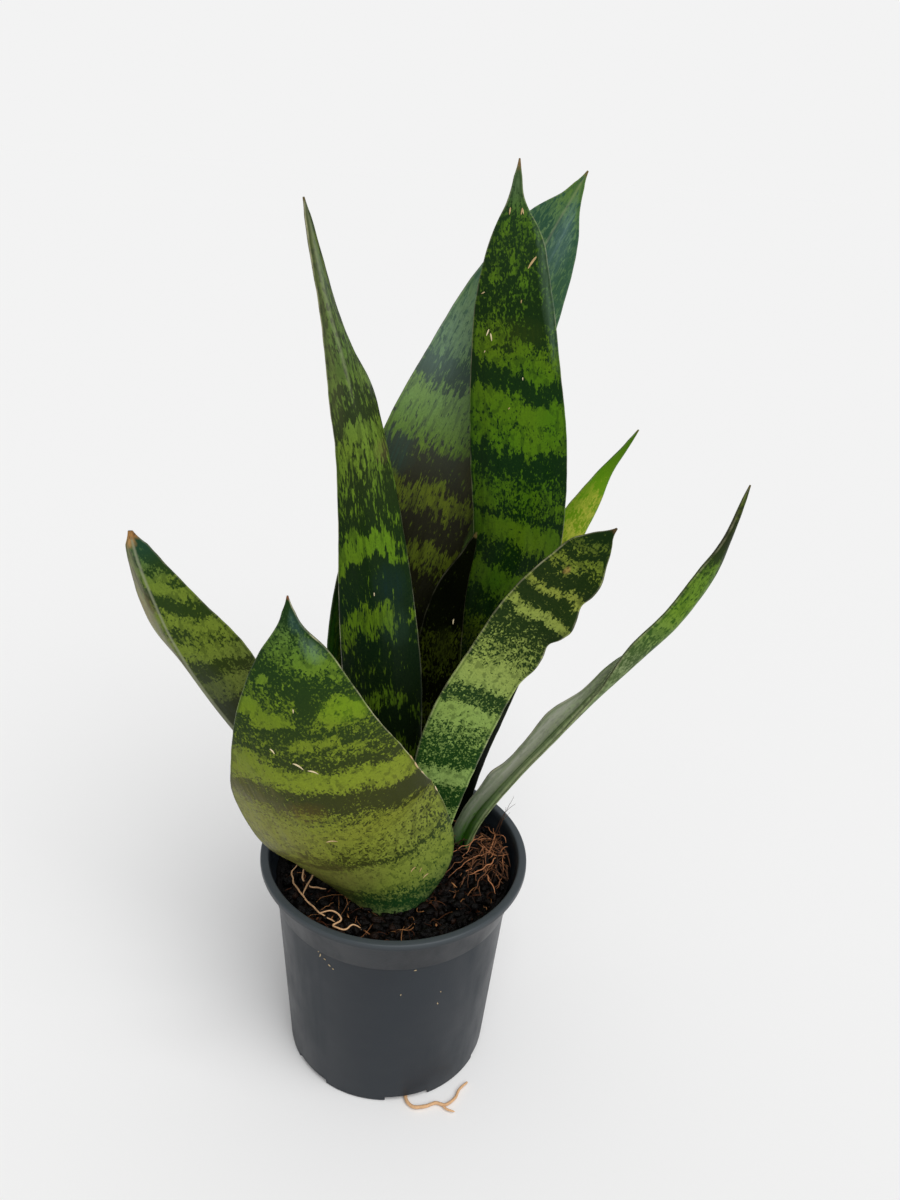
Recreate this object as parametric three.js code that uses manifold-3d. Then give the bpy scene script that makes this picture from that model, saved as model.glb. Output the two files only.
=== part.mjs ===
// A snake plant in a small round nursery pot.
// Millimetres, +Z up. The pot's axis is Z, its foot stands on Z = 0 and the plant's front faces -Y.
import * as THREE from 'three';
import { mergeVertices } from 'three/addons/utils/BufferGeometryUtils.js';
import Module from 'manifold-3d';

const wasm = await Module();
wasm.setup();

// ---------------------------------------------------------------- driving dimensions

const GAP = 0.3; // clearance between pieces that touch on the real plant
const LEAF_HOLE_GAP = 0.4; // round the leaves, whose margins flare as they leave the soil

const POT_HEIGHT = 54;
const POT_SIDES = 48;
const FOOT_RADIUS = 23.5;
const FOOT_WIDTH = 1.7;
const FOOT_DEPTH = 1.6; // the floor's underside stands this far above the foot
const FLOOR_THICKNESS = 1.3;
const WALL = 1;
const COLLAR_BOTTOM = 44;
const COLLAR_RADIUS = 26.3; // of the wall just under the collar
const COLLAR_STEP = 0.5;
const COLLAR_TOP_RADIUS = 28.7;
const RIM_RADIUS = 30;
const RIM_HEIGHT = 1.5;
const CENTRE_PAD_RADIUS = 5;

const DRAIN_COUNT = 6;
const DRAIN_FIRST_ANGLE = -77; // degrees from +X, the notch that shows at the front
const DRAIN_RADIUS = 2.6;
const DRAIN_CIRCLE = 18.6;
const NOTCH_WIDTH = 10;
const NOTCH_HEIGHT = 1.4;

const SOIL_LEVEL = 49;
const SOIL_RINGS = 7;

const LEAF_FOOT = 31.7; // the leaves' buried ends stand on the rhizome at this height
const HOLE_TOP = 62; // the leaf holes in the soil are cut up to this height of the spine
const MARGIN_THICKNESS = 0.8;
// thickness of the blade at its middle: [place along the blade 0..1, mm]
const MIDDLE_THICKNESS = [[0, 2.6], [0.3, 2.2], [0.8, 1.5], [1, 0.9]];
const KEEL_SOFTNESS = 0.18; // how round the fold is, as a share of the half width

const TRUNK_RADIUS = 4;
const BRANCH_RADIUS = 3.5;
const TRUNK_LEVEL = LEAF_FOOT - TRUNK_RADIUS - 0.5;
const KNOT_SHARE = 1.15; // of the branch's radius, to the corners of the knot at its end
const KNOT_CLEARANCE = 2.4; // those corners grow this many times the gap to clear the knot
const ROOT_RADIUS = 0.7;
const FINE_ROOT_RADIUS = 0.5;

const LEAF_ACROSS = 6;
const LEAF_STEPS = 18;

// Each station of a leaf: x, y, z of the spine, then the half width of the left and of the right
// wing, the direction the blade faces (0 = front, 90 = right, degrees), the fold of the wings
// towards that side (degrees) and the cup of the blade (depth as a share of the half width).
// A ripple: side (-1 left, 1 right), place along the blade, outward swing and reach along it.
const LEAVES = [
  {
    name: 'leaf_front',
    color: 0x5f7430,
    steps: 22,
    stations: [
      [1, -11, LEAF_FOOT, 3, 3, 0, 0, -0.2],
      [0, -14, 46, 6, 6, 0, 0, -0.4],
      [-1.5, -15, 54, 14, 15, 0, 0, -0.5],
      [-5, -17, 63, 18.5, 18, 0, 0, -0.48],
      [-10, -20.5, 73, 20.6, 19, 0, 0, -0.45],
      [-13.5, -24, 86, 19.5, 17, 0, 0, -0.35],
      [-16.5, -26, 98, 15, 14, 0, 0, -0.25],
      [-18.3, -27, 110, 10.3, 10, 0, 0, -0.15],
      [-19.2, -27.5, 119, 5.7, 6, 0, 0, -0.1],
      [-19.7, -28, 125, 1.7, 2, 0, 0, 0],
      [-19.8, -28, 130, 0.35, 0.35, 0, 0, 0],
    ],
    ripples: [],
  },
  {
    name: 'leaf_left',
    color: 0x56692f,
    stations: [
      [-6, 4, LEAF_FOOT, 3, 3, -15, -32, 0],
      [-9, 3, 47, 3.5, 4, -15, -32, 0],
      [-16.5, 1, 60, 3, 6.5, -15, -32, 0],
      [-25.8, -2, 75, 2.4, 9.5, -15, -32, 0],
      [-34.5, -5, 89.5, 1.6, 11, -15, -32, 0],
      [-42, -8, 105, 2.6, 10.8, -15, -32, 0],
      [-44.4, -9, 111, 6.2, 9.3, -14, -32, 0],
      [-46.5, -10, 118, 5.5, 7, -12, -30, 0],
      [-49, -11, 128, 2.8, 3.3, -12, -22, 0],
      [-50, -11.5, 133.5, 1.1, 1.5, -15, 0, 0],
    ],
    ripples: [],
  },
  {
    name: 'leaf_tall_left',
    color: 0x46602c,
    stations: [
      [1.5, 8.5, LEAF_FOOT, 3.2, 3.2, 0, -10, 0],
      [-0.5, 8, 49, 4.5, 4.5, 0, -10, 0],
      [-2.3, 7.5, 69.5, 7.2, 7.2, 0, -8, 0],
      [-4, 7.2, 92, 8.7, 8.4, 0, -8, 0],
      [-6, 7.2, 113, 8, 7.8, 5, -12, 0],
      [-8, 7.5, 131, 6.4, 6.9, 10, -20, 0],
      [-10.1, 7.5, 147, 5.1, 6.8, 24, -30, 0],
      [-12, 7, 155, 4.2, 7.8, 34, -31, 0],
      [-13.8, 6.5, 162, 3, 4.4, 34, -28, 0],
      [-16.8, 5, 173, 1.2, 3, 40, -30, 0],
      [-18.6, 4.5, 181, 0.8, 1.5, 38, -18, 0],
      [-20.4, 4, 190, 0.4, 0.4, 40, 0, 0],
    ],
    ripples: [],
  },
  {
    name: 'leaf_back',
    color: 0x3f5836,
    stations: [
      [-2, 19, LEAF_FOOT, 3.6, 3.6, 0, 5, 0.05],
      [-4, 18, 50, 5.5, 5.5, 0, 5, 0.05],
      [-6.1, 18, 69, 8.4, 7.8, 0, 5, 0.05],
      [-6.6, 18.5, 90, 10.6, 8.6, 0, 5, 0.05],
      [-4.5, 19.2, 106, 11.6, 11.2, 0, 5, 0.05],
      [0.5, 20.2, 124, 12.5, 12.6, 0, 5, 0.05],
      [5.5, 21, 141, 12.5, 12.8, 0, 5, 0.05],
      [12.3, 22.5, 157, 11.4, 12.6, 0, 4, 0.05],
      [20, 24, 173.7, 9.6, 9, 0, 5, 0.05],
      [25.8, 25, 186.4, 5.4, 5.1, 0, 0, 0],
      [28.5, 25.8, 191.4, 1.9, 1.9, 0, 0, 0],
      [30.9, 26, 196, 0.35, 0.35, 0, 0, 0],
    ],
    ripples: [],
  },
  {
    name: 'leaf_centre',
    color: 0x36521f,
    stations: [
      [11.5, 14.5, LEAF_FOOT, 3.2, 3.2, 5, 0, -0.05],
      [12, 14.5, 50, 4.6, 4.6, 5, 0, -0.05],
      [14, 14.7, 68, 6.2, 6.2, 5, 0, -0.05],
      [17.8, 14.6, 86, 8.6, 7.6, 5, 0, -0.05],
      [21.6, 14.4, 104, 10.2, 8.8, 5, -3, -0.05],
      [23.2, 13.8, 122.5, 9.7, 9, 0, -3, -0.05],
      [21.4, 12.5, 145, 9.9, 9.5, 0, -4, -0.05],
      [19.3, 12, 162, 8.9, 8.2, 0, -5, -0.05],
      [17.5, 11, 176, 6.9, 6.8, 0, -6, 0],
      [16.7, 10, 186, 4, 4.5, 0, -6, 0],
      [16.5, 9.5, 191.2, 1.7, 1.4, 0, 0, 0],
      [16.2, 8, 198, 0.35, 0.35, 0, 0, 0],
    ],
    ripples: [],
  },
  {
    name: 'leaf_young',
    color: 0x16240f,
    steps: 16,
    stations: [
      [7, 11.4, LEAF_FOOT, 2.6, 2.6, 10, 0, 0],
      [7.2, 11.3, 50, 3.2, 3.2, 10, 0, 0],
      [7.5, 11.3, 70, 4.6, 4.6, 8, 0, 0],
      [7.7, 11.3, 87, 5, 5, 6, 0, 0],
      [8, 11.2, 102, 4.8, 4.6, 6, -4, 0],
      [10, 11, 115, 3.3, 3.1, 10, -10, 0],
      [12.6, 10.6, 123, 1.3, 1.3, 10, -10, 0],
      [13.9, 10.4, 127.6, 0.5, 0.5, 10, 0, 0],
    ],
    ripples: [],
  },
  {
    name: 'leaf_behind_right',
    color: 0x6f8a2c,
    steps: 18,
    stations: [
      [10.8, 17.5, LEAF_FOOT, 2.2, 2.2, 10, -5, 0],
      [11.8, 18.2, 48, 3, 3, 10, -10, 0],
      [15, 18.6, 62, 3.4, 3.4, 10, -10, 0],
      [20, 19.3, 80, 4.2, 4.2, 10, -10, 0],
      [27, 21, 101, 4.3, 4.3, 10, -10, 0],
      [34.8, 23, 122, 4.5, 3.5, 10, -10, 0],
      [38.8, 24, 131, 2.9, 2.9, 10, -10, 0],
      [42.3, 25, 137.5, 1.6, 1, 10, -4, 0],
      [45.4, 25.5, 142.6, 0.6, 0.5, 10, 0, 0],
      [47.7, 26, 146.4, 0.4, 0.4, 10, 0, 0],
    ],
    ripples: [],
  },
  {
    name: 'leaf_right',
    color: 0x5f7d38,
    steps: 30,
    stations: [
      [8, 6, LEAF_FOOT, 3, 3, -5, 8, 0.1],
      [7.2, 4.5, 50, 3.6, 3.6, -5, 8, 0.1],
      [8, 2.8, 64, 5, 5.6, -5, 8, 0.1],
      [9.8, 1, 78, 6.2, 7, -5, 8, 0.1],
      [13.5, -1, 92, 6.6, 7.1, -6, 9, 0.1],
      [19.7, -3, 105.5, 6.8, 5.9, -8, 7, 0.1],
      [26, -4.8, 117.2, 7.1, 6.8, -18, 6, 0.1],
      [32.5, -6, 126.8, 6.3, 4.9, -19, 5, 0.1],
      [35.6, -6.2, 131.6, 4.8, 2.9, -15, 2, 0],
      [37.4, -6.2, 134.6, 1.9, 1.4, -15, 0, 0],
      [38.9, -6.2, 136.4, 0.4, 0.4, -15, 0, 0],
    ],
    ripples: [
      [1, 0.7, 0.5, 0.025],
      [1, 0.76, -1.1, 0.02],
      [1, 0.815, 0.5, 0.02],
      [1, 0.86, -0.9, 0.018],
      [1, 0.91, 0.5, 0.02],
    ],
  },
  {
    name: 'leaf_arching',
    color: 0x6d7f58,
    stations: [
      [14.5, 8, LEAF_FOOT, 2.8, 2.8, -50, 28, 0],
      [15.5, 7.5, 46, 3.4, 3, -55, 28, 0],
      [18.6, 7.2, 57, 3.8, 2.6, -60, 28, 0],
      [26, 6.4, 70, 3.3, 1.4, -60, 28, 0],
      [34, 5.6, 82, 3.6, 1.3, -66, 29, 0],
      [41.5, 4.8, 93, 2.7, 1.7, -87, 33, 0],
      [49.3, 3.8, 103.5, 5.5, 4.3, -126, 24, 0],
      [56, 2.8, 114, 2.4, 3.6, -148, 10, 0],
      [60.8, 1.8, 125.5, 2, 2.9, -150, 5, 0],
      [62.4, 1.2, 131.5, 0.9, 1.3, -150, 0, 0],
      [64.6, 0.2, 144, 0.4, 0.4, -150, 0, 0],
    ],
    ripples: [[-1, 0.3, 0.8, 0.03], [-1, 0.47, 0.9, 0.05]],
  },
];

// The rhizome's trunk and branches as x, y and height above TRUNK_LEVEL: one runs under each
// group of leaf feet.
const TRUNK = [[1, -12, 0], [2.5, -3, 0], [3, 5, 0], [-1, 12.5, 0], [-2, 18.4, 0]];
const BRANCHES = [
  [[3, 4.6, 0], [-2, 5, 0.5], [-6.5, 4, 0.5]],
  [[2.9, 5.2, 0], [8, 6, 0.5], [14.8, 8, 0.5]],
  [[2.4, 6.2, 0], [7, 11.5, 0.5], [11, 14.4, 0.5]],
];

// Roots from the rhizome down into the soil.
const BURIED_ROOTS = [
  [[-5, 4, 25], [-10, 2, 21], [-14, -3, 15], [-15, -8, 9]],
  [[-2, 18, 25], [-6, 19, 19], [-9, 16, 12], [-8, 12, 7]],
  [[12, 14, 25], [14.5, 12, 18], [14, 8, 12], [16, 3, 7]],
  [[2, -3, 25], [-3, -7, 18], [-4, -12, 11], [-9, -15, 6]],
];

// The root that leaves by the front drain hole and lies along the surface beside the foot.
const ROOT_LEVEL = FINE_ROOT_RADIUS + 0.15;
const DRAIN_ROOT = [
  [1.5, -10.5, 25], [3, -13.5, 17], [4.4, -16.5, 9], [4.25, -17.9, 4.5], [4.35, -18.6, 2.4],
  [4.6, -19.8, 1], [4.9, -21.4, ROOT_LEVEL], [5.2, -23.4, ROOT_LEVEL], [6.6, -25.2, ROOT_LEVEL],
  [9.4, -25.2, ROOT_LEVEL], [12, -24.2, ROOT_LEVEL], [14, -24.6, ROOT_LEVEL],
  [16.4, -22.8, ROOT_LEVEL], [17.6, -20.4, ROOT_LEVEL], [19.4, -18.6, ROOT_LEVEL],
];
const DRAIN_ROOT_FORK = [
  [13.4, -24.5, ROOT_LEVEL], [14.8, -25.9, ROOT_LEVEL], [16.2, -26.3, ROOT_LEVEL],
];

// Fibres that lie on the soil: x, y and how far the fibre's middle stands above the soil.
const CURLY_ROOTS = [
  [[-21.4, -1.6, 0.6], [-22.6, -5, 0.9], [-21.6, -8.4, 1.1], [-19.4, -12, 1], [-16.6, -15.4, 0.7],
    [-14.8, -18, 0.6], [-12, -18.6, 0.4]],
  [[-21.4, -1.8, 0.6], [-18.6, -2.8, 1.2], [-17.6, -6.4, 1.4], [-19, -9.6, 1.2], [-19.5, -12, 0.9]],
  [[-19.8, -2.4, 0.8], [-20.2, -6, 0.5], [-17.8, -8.8, 0.5], [-14.6, -9.4, 0.3]],
  [[-15.4, -17.4, 0.6], [-12.4, -16.4, 0.8], [-10.6, -18.2, 1.1], [-12.2, -20.4, 0.8],
    [-9.6, -21.6, 0.6], [-7.6, -20.2, 0.6], [-6.2, -21.2, 0.3]],
];
const COIR_FIBRES = [
  [[25, 8.4, 1.2], [23.4, 7, 1.4], [20.6, 3.6, 1.3], [18, -0.4, 1], [18.6, -5.4, 0.8], [19.4, -10.4, 0.5]],
  [[23.4, 11.4, 1.2], [23.4, 8, 2], [22.2, 3.4, 1.6], [20.8, -1.4, 0.8], [22.4, -6.4, 0.5]],
  [[17.8, 12, 0.8], [20.6, 8.8, 1.6], [23.2, 6.4, 2.1], [25.8, 3.4, 1.4], [26.6, -1.2, 0.8]],
  [[19, 6.6, 0.8], [21, 3.2, 1.8], [24, 1.6, 1.5], [26.4, 2.4, 1]],
  [[16.2, 0.4, 0.5], [18.4, 0.2, 0.9], [21, 0.6, 1.1], [24.4, -1.4, 0.8], [26, -4.6, 0.5]],
  [[12.4, -12.6, 0.4], [14.6, -8.8, 0.7], [16.6, -3.8, 0.8], [18.2, -0.8, 1]],
];
const FIBRE_SIDES = 5;
const END_CLEARANCE = 1.8; // an octahedron this much larger holds a ball of the same radius

const POT_COLOR = 0x3a4147;
const SOIL_COLOR = 0x1a1310;
const RHIZOME_COLOR = 0xc2a77a;
const CURLY_ROOT_COLOR = 0xb08a5c;
const COIR_COLOR = 0x7a4526;

// ---------------------------------------------------------------- curves

// Smooth curve through rows of values at the given places, read at one place.
function smooth(places, rows, at) {
  const last = places.length - 1;
  const slope = (k) => rows[k].map((v, c) => (rows[k + 1][c] - v) / (places[k + 1] - places[k]));
  const tangent = (k) => {
    if (k === 0) return slope(0);
    if (k === last) return slope(last - 1);
    const before = places[k] - places[k - 1];
    const after = places[k + 1] - places[k];
    const a = slope(k - 1);
    const b = slope(k);
    return a.map((v, c) => (v * after + b[c] * before) / (before + after));
  };
  let k = 0;
  while (k < last - 1 && at >= places[k + 1]) k += 1;
  const span = places[k + 1] - places[k];
  const u = Math.min(Math.max((at - places[k]) / span, 0), 1);
  const m0 = tangent(k);
  const m1 = tangent(k + 1);
  return rows[k].map((v, c) => v * (2 * u ** 3 - 3 * u ** 2 + 1)
    + m0[c] * span * (u ** 3 - 2 * u ** 2 + u)
    + rows[k + 1][c] * (3 * u ** 2 - 2 * u ** 3)
    + m1[c] * span * (u ** 3 - u ** 2));
}

function smoothPairs(pairs, at) {
  return smooth(pairs.map((p) => p[0]), pairs.map((p) => [p[1]]), at)[0];
}

// Each station's place along the spine, 0 at the foot and 1 at the tip.
function stationPlaces(stations) {
  const places = [0];
  for (let k = 1; k < stations.length; k += 1) {
    const [a, b] = [stations[k - 1], stations[k]];
    places.push(places[k - 1] + Math.hypot(b[0] - a[0], b[1] - a[1], b[2] - a[2]));
  }
  return places.map((p) => p / places.at(-1));
}

// ---------------------------------------------------------------- solids

// A closed three.js geometry as a solid.
function solid(geometry) {
  const bare = geometry.clone();
  bare.deleteAttribute('normal');
  bare.deleteAttribute('uv');
  const merged = mergeVertices(bare, 1e-4);
  const corners = merged.index.array;
  const kept = [];
  for (let k = 0; k < corners.length; k += 3) {
    const [a, b, c] = [corners[k], corners[k + 1], corners[k + 2]];
    if (a !== b && b !== c && c !== a) kept.push(a, b, c);
  }
  const vertProperties = new Float32Array(merged.attributes.position.array);
  const mesh = new wasm.Mesh({ numProp: 3, vertProperties, triVerts: new Uint32Array(kept) });
  mesh.merge();
  return new wasm.Manifold(mesh);
}

function geometryOf(body) {
  const mesh = body.getMesh();
  const geometry = new THREE.BufferGeometry();
  geometry.setAttribute('position', new THREE.BufferAttribute(new Float32Array(mesh.vertProperties), 3));
  geometry.setIndex(new THREE.BufferAttribute(new Uint32Array(mesh.triVerts), 1));
  geometry.computeVertexNormals();
  return geometry;
}

function joined(bodies) {
  return bodies.reduce((whole, body) => whole.add(body));
}

// A profile of [radius, height] turned around Z.
function turned(profile, sides) {
  const points = profile.map(([r, z]) => new THREE.Vector2(r, z));
  return new THREE.LatheGeometry(points, sides).rotateX(Math.PI / 2);
}

// A round rod of the given radius along a smooth curve through points.
function rod(points, radius, sides, pitch) {
  const curve = new THREE.CatmullRomCurve3(points.map((p) => new THREE.Vector3(...p)), false, 'centripetal');
  const ring = [];
  for (let k = 0; k < sides; k += 1) {
    const angle = (2 * Math.PI * k) / sides;
    ring.push(new THREE.Vector2(radius * Math.cos(angle), radius * Math.sin(angle)));
  }
  const steps = Math.max(3, Math.round(curve.getLength() / pitch));
  return new THREE.ExtrudeGeometry(new THREE.Shape(ring), { steps, extrudePath: curve, bevelEnabled: false });
}

// A fibre, or where grow is not 0 the clear space around it, its ends included.
function fibre(points, radius, grow, pitch) {
  let body = solid(rod(points, radius + grow, FIBRE_SIDES, pitch));
  if (grow > 0) {
    for (const end of [points[0], points.at(-1)]) {
      const clear = new THREE.OctahedronGeometry(END_CLEARANCE * (radius + grow));
      body = body.add(solid(clear.translate(...end)));
    }
  }
  return body;
}

// ---------------------------------------------------------------- pot

function drainAngles() {
  return Array.from({ length: DRAIN_COUNT }, (_, k) => DRAIN_FIRST_ANGLE + (360 / DRAIN_COUNT) * k);
}

function potWallRadius(z) {
  return FOOT_RADIUS + ((COLLAR_RADIUS - FOOT_RADIUS) * z) / COLLAR_BOTTOM;
}

function potProfile() {
  const floorTop = FOOT_DEPTH + FLOOR_THICKNESS;
  const lipBottom = POT_HEIGHT - RIM_HEIGHT;
  return [
    [0, 0],
    [CENTRE_PAD_RADIUS, 0],
    [CENTRE_PAD_RADIUS, FOOT_DEPTH],
    [FOOT_RADIUS - FOOT_WIDTH, FOOT_DEPTH],
    [FOOT_RADIUS - FOOT_WIDTH, 0],
    [FOOT_RADIUS - 0.3, 0],
    [potWallRadius(0.3), 0.3],
    [COLLAR_RADIUS, COLLAR_BOTTOM],
    [COLLAR_RADIUS + COLLAR_STEP, COLLAR_BOTTOM + 0.2],
    [COLLAR_TOP_RADIUS, lipBottom],
    [RIM_RADIUS - 0.2, lipBottom + 0.1],
    [RIM_RADIUS, lipBottom + 0.4],
    [RIM_RADIUS - 0.1, POT_HEIGHT - 0.3],
    [RIM_RADIUS - 0.4, POT_HEIGHT],
    [COLLAR_TOP_RADIUS - 0.2, POT_HEIGHT],
    [COLLAR_TOP_RADIUS - 0.6, POT_HEIGHT - 0.5],
    [COLLAR_RADIUS + COLLAR_STEP - WALL, COLLAR_BOTTOM + 0.6],
    [COLLAR_RADIUS - WALL, COLLAR_BOTTOM],
    [potWallRadius(floorTop) - WALL - 0.4, floorTop],
    [0, floorTop],
  ];
}

// Radius of the pot's inside at a height above the floor.
function potInside(z) {
  const [rim, collar, wall, floor] = potProfile().slice(15, 19);
  const path = [floor, wall, collar, rim];
  let k = 0;
  while (k < 2 && z > path[k + 1][1]) k += 1;
  const share = (z - path[k][1]) / (path[k + 1][1] - path[k][1]);
  return path[k][0] + share * (path[k + 1][0] - path[k][0]);
}

function buildPot() {
  let body = solid(turned(potProfile(), POT_SIDES));
  for (const degrees of drainAngles()) {
    const angle = THREE.MathUtils.degToRad(degrees);
    const notch = new THREE.BoxGeometry(2 * FOOT_WIDTH + 2, NOTCH_WIDTH, 2 * NOTCH_HEIGHT);
    notch.translate(FOOT_RADIUS - FOOT_WIDTH / 2, 0, 0);
    notch.rotateZ(angle);
    const hole = new THREE.CylinderGeometry(DRAIN_RADIUS, DRAIN_RADIUS, 8, 14).rotateX(Math.PI / 2);
    hole.translate(DRAIN_CIRCLE * Math.cos(angle), DRAIN_CIRCLE * Math.sin(angle), 0);
    body = body.subtract(solid(notch)).subtract(solid(hole));
  }
  return body;
}

// ---------------------------------------------------------------- leaves

function leafSteps(leaf) {
  return leaf.steps ?? LEAF_STEPS;
}

// Middle of the blade at one place along it, with its frame: along, out of the faced side, across.
function bladeFrame(leaf, places, at) {
  const nudge = 1e-3;
  const row = smooth(places, leaf.stations, at);
  const ahead = smooth(places, leaf.stations, Math.min(at + nudge, 1));
  const behind = smooth(places, leaf.stations, Math.max(at - nudge, 0));
  const along = new THREE.Vector3(ahead[0] - behind[0], ahead[1] - behind[1], ahead[2] - behind[2]).normalize();
  const facing = THREE.MathUtils.degToRad(row[5]);
  const out = new THREE.Vector3(Math.sin(facing), -Math.cos(facing), 0);
  out.addScaledVector(along, -out.dot(along)).normalize();
  const across = new THREE.Vector3().crossVectors(along, out);
  return { row, along, out, across };
}

// The blade's section at one place: sideways and outward offset of the middle surface at t = -1..1.
function sectionPoint(leaf, row, at, t, grow) {
  const reach = Math.abs(t);
  let width = Math.max(t < 0 ? row[3] : row[4], 0.2);
  let swing = 0;
  for (const [side, place, amount, length] of leaf.ripples) {
    if (side * t > 0) swing += amount * Math.exp(-(((at - place) / length) ** 2));
  }
  width += swing;
  const fold = THREE.MathUtils.degToRad(row[6]);
  const k = KEEL_SOFTNESS;
  const soft = (Math.sqrt(reach * reach + k * k) - k) / (Math.sqrt(1 + k * k) - k);
  return {
    side: t * (width * Math.cos(fold) + grow),
    depth: width * (soft * Math.sin(fold) + row[7] * reach * reach) + 0.8 * swing * reach * reach,
  };
}

// The closed blade up to one of its steps, thickened all round by grow.
function blade(leaf, lastStep, grow) {
  const places = stationPlaces(leaf.stations);
  const loop = 2 * (LEAF_ACROSS + 1);
  const vertices = [];
  for (let i = 0; i <= lastStep; i += 1) {
    const at = i / leafSteps(leaf);
    const { row, along, out, across } = bladeFrame(leaf, places, at);
    const centre = new THREE.Vector3(row[0], row[1], row[2]);
    if (i === 0) centre.addScaledVector(along, -grow);
    const middle = smoothPairs(MIDDLE_THICKNESS, at);
    const front = [];
    const back = [];
    for (let j = 0; j <= LEAF_ACROSS; j += 1) {
      const t = -1 + (2 * j) / LEAF_ACROSS;
      const here = sectionPoint(leaf, row, at, t, grow);
      const left = sectionPoint(leaf, row, at, t - 0.02, grow);
      const right = sectionPoint(leaf, row, at, t + 0.02, grow);
      const lean = Math.atan2(right.depth - left.depth, right.side - left.side);
      const half = (MARGIN_THICKNESS + (middle - MARGIN_THICKNESS) * (1 - t * t)) / 2 + grow;
      for (const [list, sign] of [[front, 1], [back, -1]]) {
        const point = centre.clone();
        point.addScaledVector(across, here.side - sign * half * Math.sin(lean));
        point.addScaledVector(out, here.depth + sign * half * Math.cos(lean));
        list.push(point);
      }
    }
    vertices.push(...front, ...back.reverse());
  }
  const index = [];
  const quad = (a, b, c, d) => index.push(a, b, c, a, c, d);
  for (let i = 0; i < lastStep; i += 1) {
    for (let j = 0; j < loop; j += 1) {
      const next = (j + 1) % loop;
      const [a, b] = [i * loop + j, i * loop + next];
      const [c, d] = [(i + 1) * loop + next, (i + 1) * loop + j];
      // the back's diagonals run the other way round the loop, so that they lie under the front's
      if (j < LEAF_ACROSS) quad(a, b, c, d);
      else quad(b, c, d, a);
    }
  }
  const end = lastStep * loop;
  for (let j = 0; j < LEAF_ACROSS; j += 1) {
    const opposite = loop - 1 - j;
    quad(j, opposite, opposite - 1, j + 1);
    quad(end + j, end + j + 1, end + opposite - 1, end + opposite);
  }
  const geometry = new THREE.BufferGeometry().setFromPoints(vertices);
  geometry.setIndex(index);
  return geometry;
}

function buildLeaf(leaf) {
  return solid(blade(leaf, leafSteps(leaf), 0));
}

// The hole that a leaf stands in: its lower blade, thicker by the gap.
function leafHole(leaf) {
  const places = stationPlaces(leaf.stations);
  let step = 1;
  while (smooth(places, leaf.stations, step / leafSteps(leaf))[2] < HOLE_TOP) step += 1;
  return solid(blade(leaf, step, LEAF_HOLE_GAP));
}

// ---------------------------------------------------------------- rhizome and roots

// A stretch of rhizome with a knot at its last point, and at its first too where it is free.
function branchSolid(route, radius, grow, freeStart) {
  const points = route.map(([x, y, rise]) => [x, y, TRUNK_LEVEL + rise]);
  let body = solid(rod(points, radius + grow, 8, 5));
  for (const end of freeStart ? [points[0], points.at(-1)] : [points.at(-1)]) {
    const knot = new THREE.IcosahedronGeometry(KNOT_SHARE * radius + KNOT_CLEARANCE * grow);
    body = body.add(solid(knot.translate(...end)));
  }
  return body;
}

function rhizomeSolid(grow) {
  const bodies = [branchSolid(TRUNK, TRUNK_RADIUS, grow, true)];
  for (const branch of BRANCHES) bodies.push(branchSolid(branch, BRANCH_RADIUS, grow, false));
  for (const root of BURIED_ROOTS) bodies.push(fibre(root, ROOT_RADIUS, grow, 5));
  return joined(bodies);
}

function drainRoot(grow) {
  const root = fibre(DRAIN_ROOT, FINE_ROOT_RADIUS, grow, 2.4);
  return root.add(fibre(DRAIN_ROOT_FORK, FINE_ROOT_RADIUS - 0.05, grow, 1.2));
}

function buildRhizome() {
  return rhizomeSolid(0).add(drainRoot(0));
}

// ---------------------------------------------------------------- soil

// Height of the crumbly surface: a little higher at the right, with lumps.
function soilTop(x, y) {
  const lumps = 0.45 * Math.sin(0.55 * x + 1.3) * Math.cos(0.48 * y - 0.4)
    + 0.3 * Math.sin(0.95 * x - 0.75 * y + 2) + 0.2 * Math.cos(1.1 * x + 1.25 * y);
  return SOIL_LEVEL + 0.035 * x + 0.015 * y + lumps;
}

function soilGeometry() {
  const floor = FOOT_DEPTH + FLOOR_THICKNESS + GAP;
  const edge = potInside(SOIL_LEVEL) - GAP - 0.1;
  const profile = [[0, floor], [potInside(floor) - GAP, floor]];
  profile.push([potInside(COLLAR_BOTTOM) - GAP, COLLAR_BOTTOM]);
  profile.push([potInside(COLLAR_BOTTOM + 0.6) - GAP, COLLAR_BOTTOM + 0.6]);
  for (let k = SOIL_RINGS; k >= 0; k -= 1) profile.push([(edge * k) / SOIL_RINGS, SOIL_LEVEL]);
  const geometry = turned(profile, POT_SIDES);
  const position = geometry.attributes.position;
  for (let k = 0; k < position.count; k += 1) {
    if (position.getZ(k) > SOIL_LEVEL - 0.01) {
      const [x, y] = [position.getX(k), position.getY(k)];
      const z = soilTop(x, y);
      const reach = Math.hypot(x, y);
      const stretch = reach > edge - 0.01 ? (potInside(z) - GAP - 0.1) / reach : 1;
      position.setXYZ(k, x * stretch, y * stretch, z);
    }
  }
  return geometry;
}

function onSoil(route) {
  return route.map(([x, y, above]) => [x, y, soilTop(x, y) + above]);
}

function fibres(list, radius, grow) {
  return joined(list.map((route) => fibre(onSoil(route), radius, grow, 3)));
}

function buildSoil() {
  let body = solid(soilGeometry());
  body = body.subtract(rhizomeSolid(GAP)).subtract(drainRoot(GAP));
  for (const leaf of LEAVES) body = body.subtract(leafHole(leaf));
  body = body.subtract(fibres(CURLY_ROOTS, FINE_ROOT_RADIUS, GAP));
  return body.subtract(fibres(COIR_FIBRES, FINE_ROOT_RADIUS - 0.1, GAP));
}

// ---------------------------------------------------------------- assembly

const plant = new THREE.Group();

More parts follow.
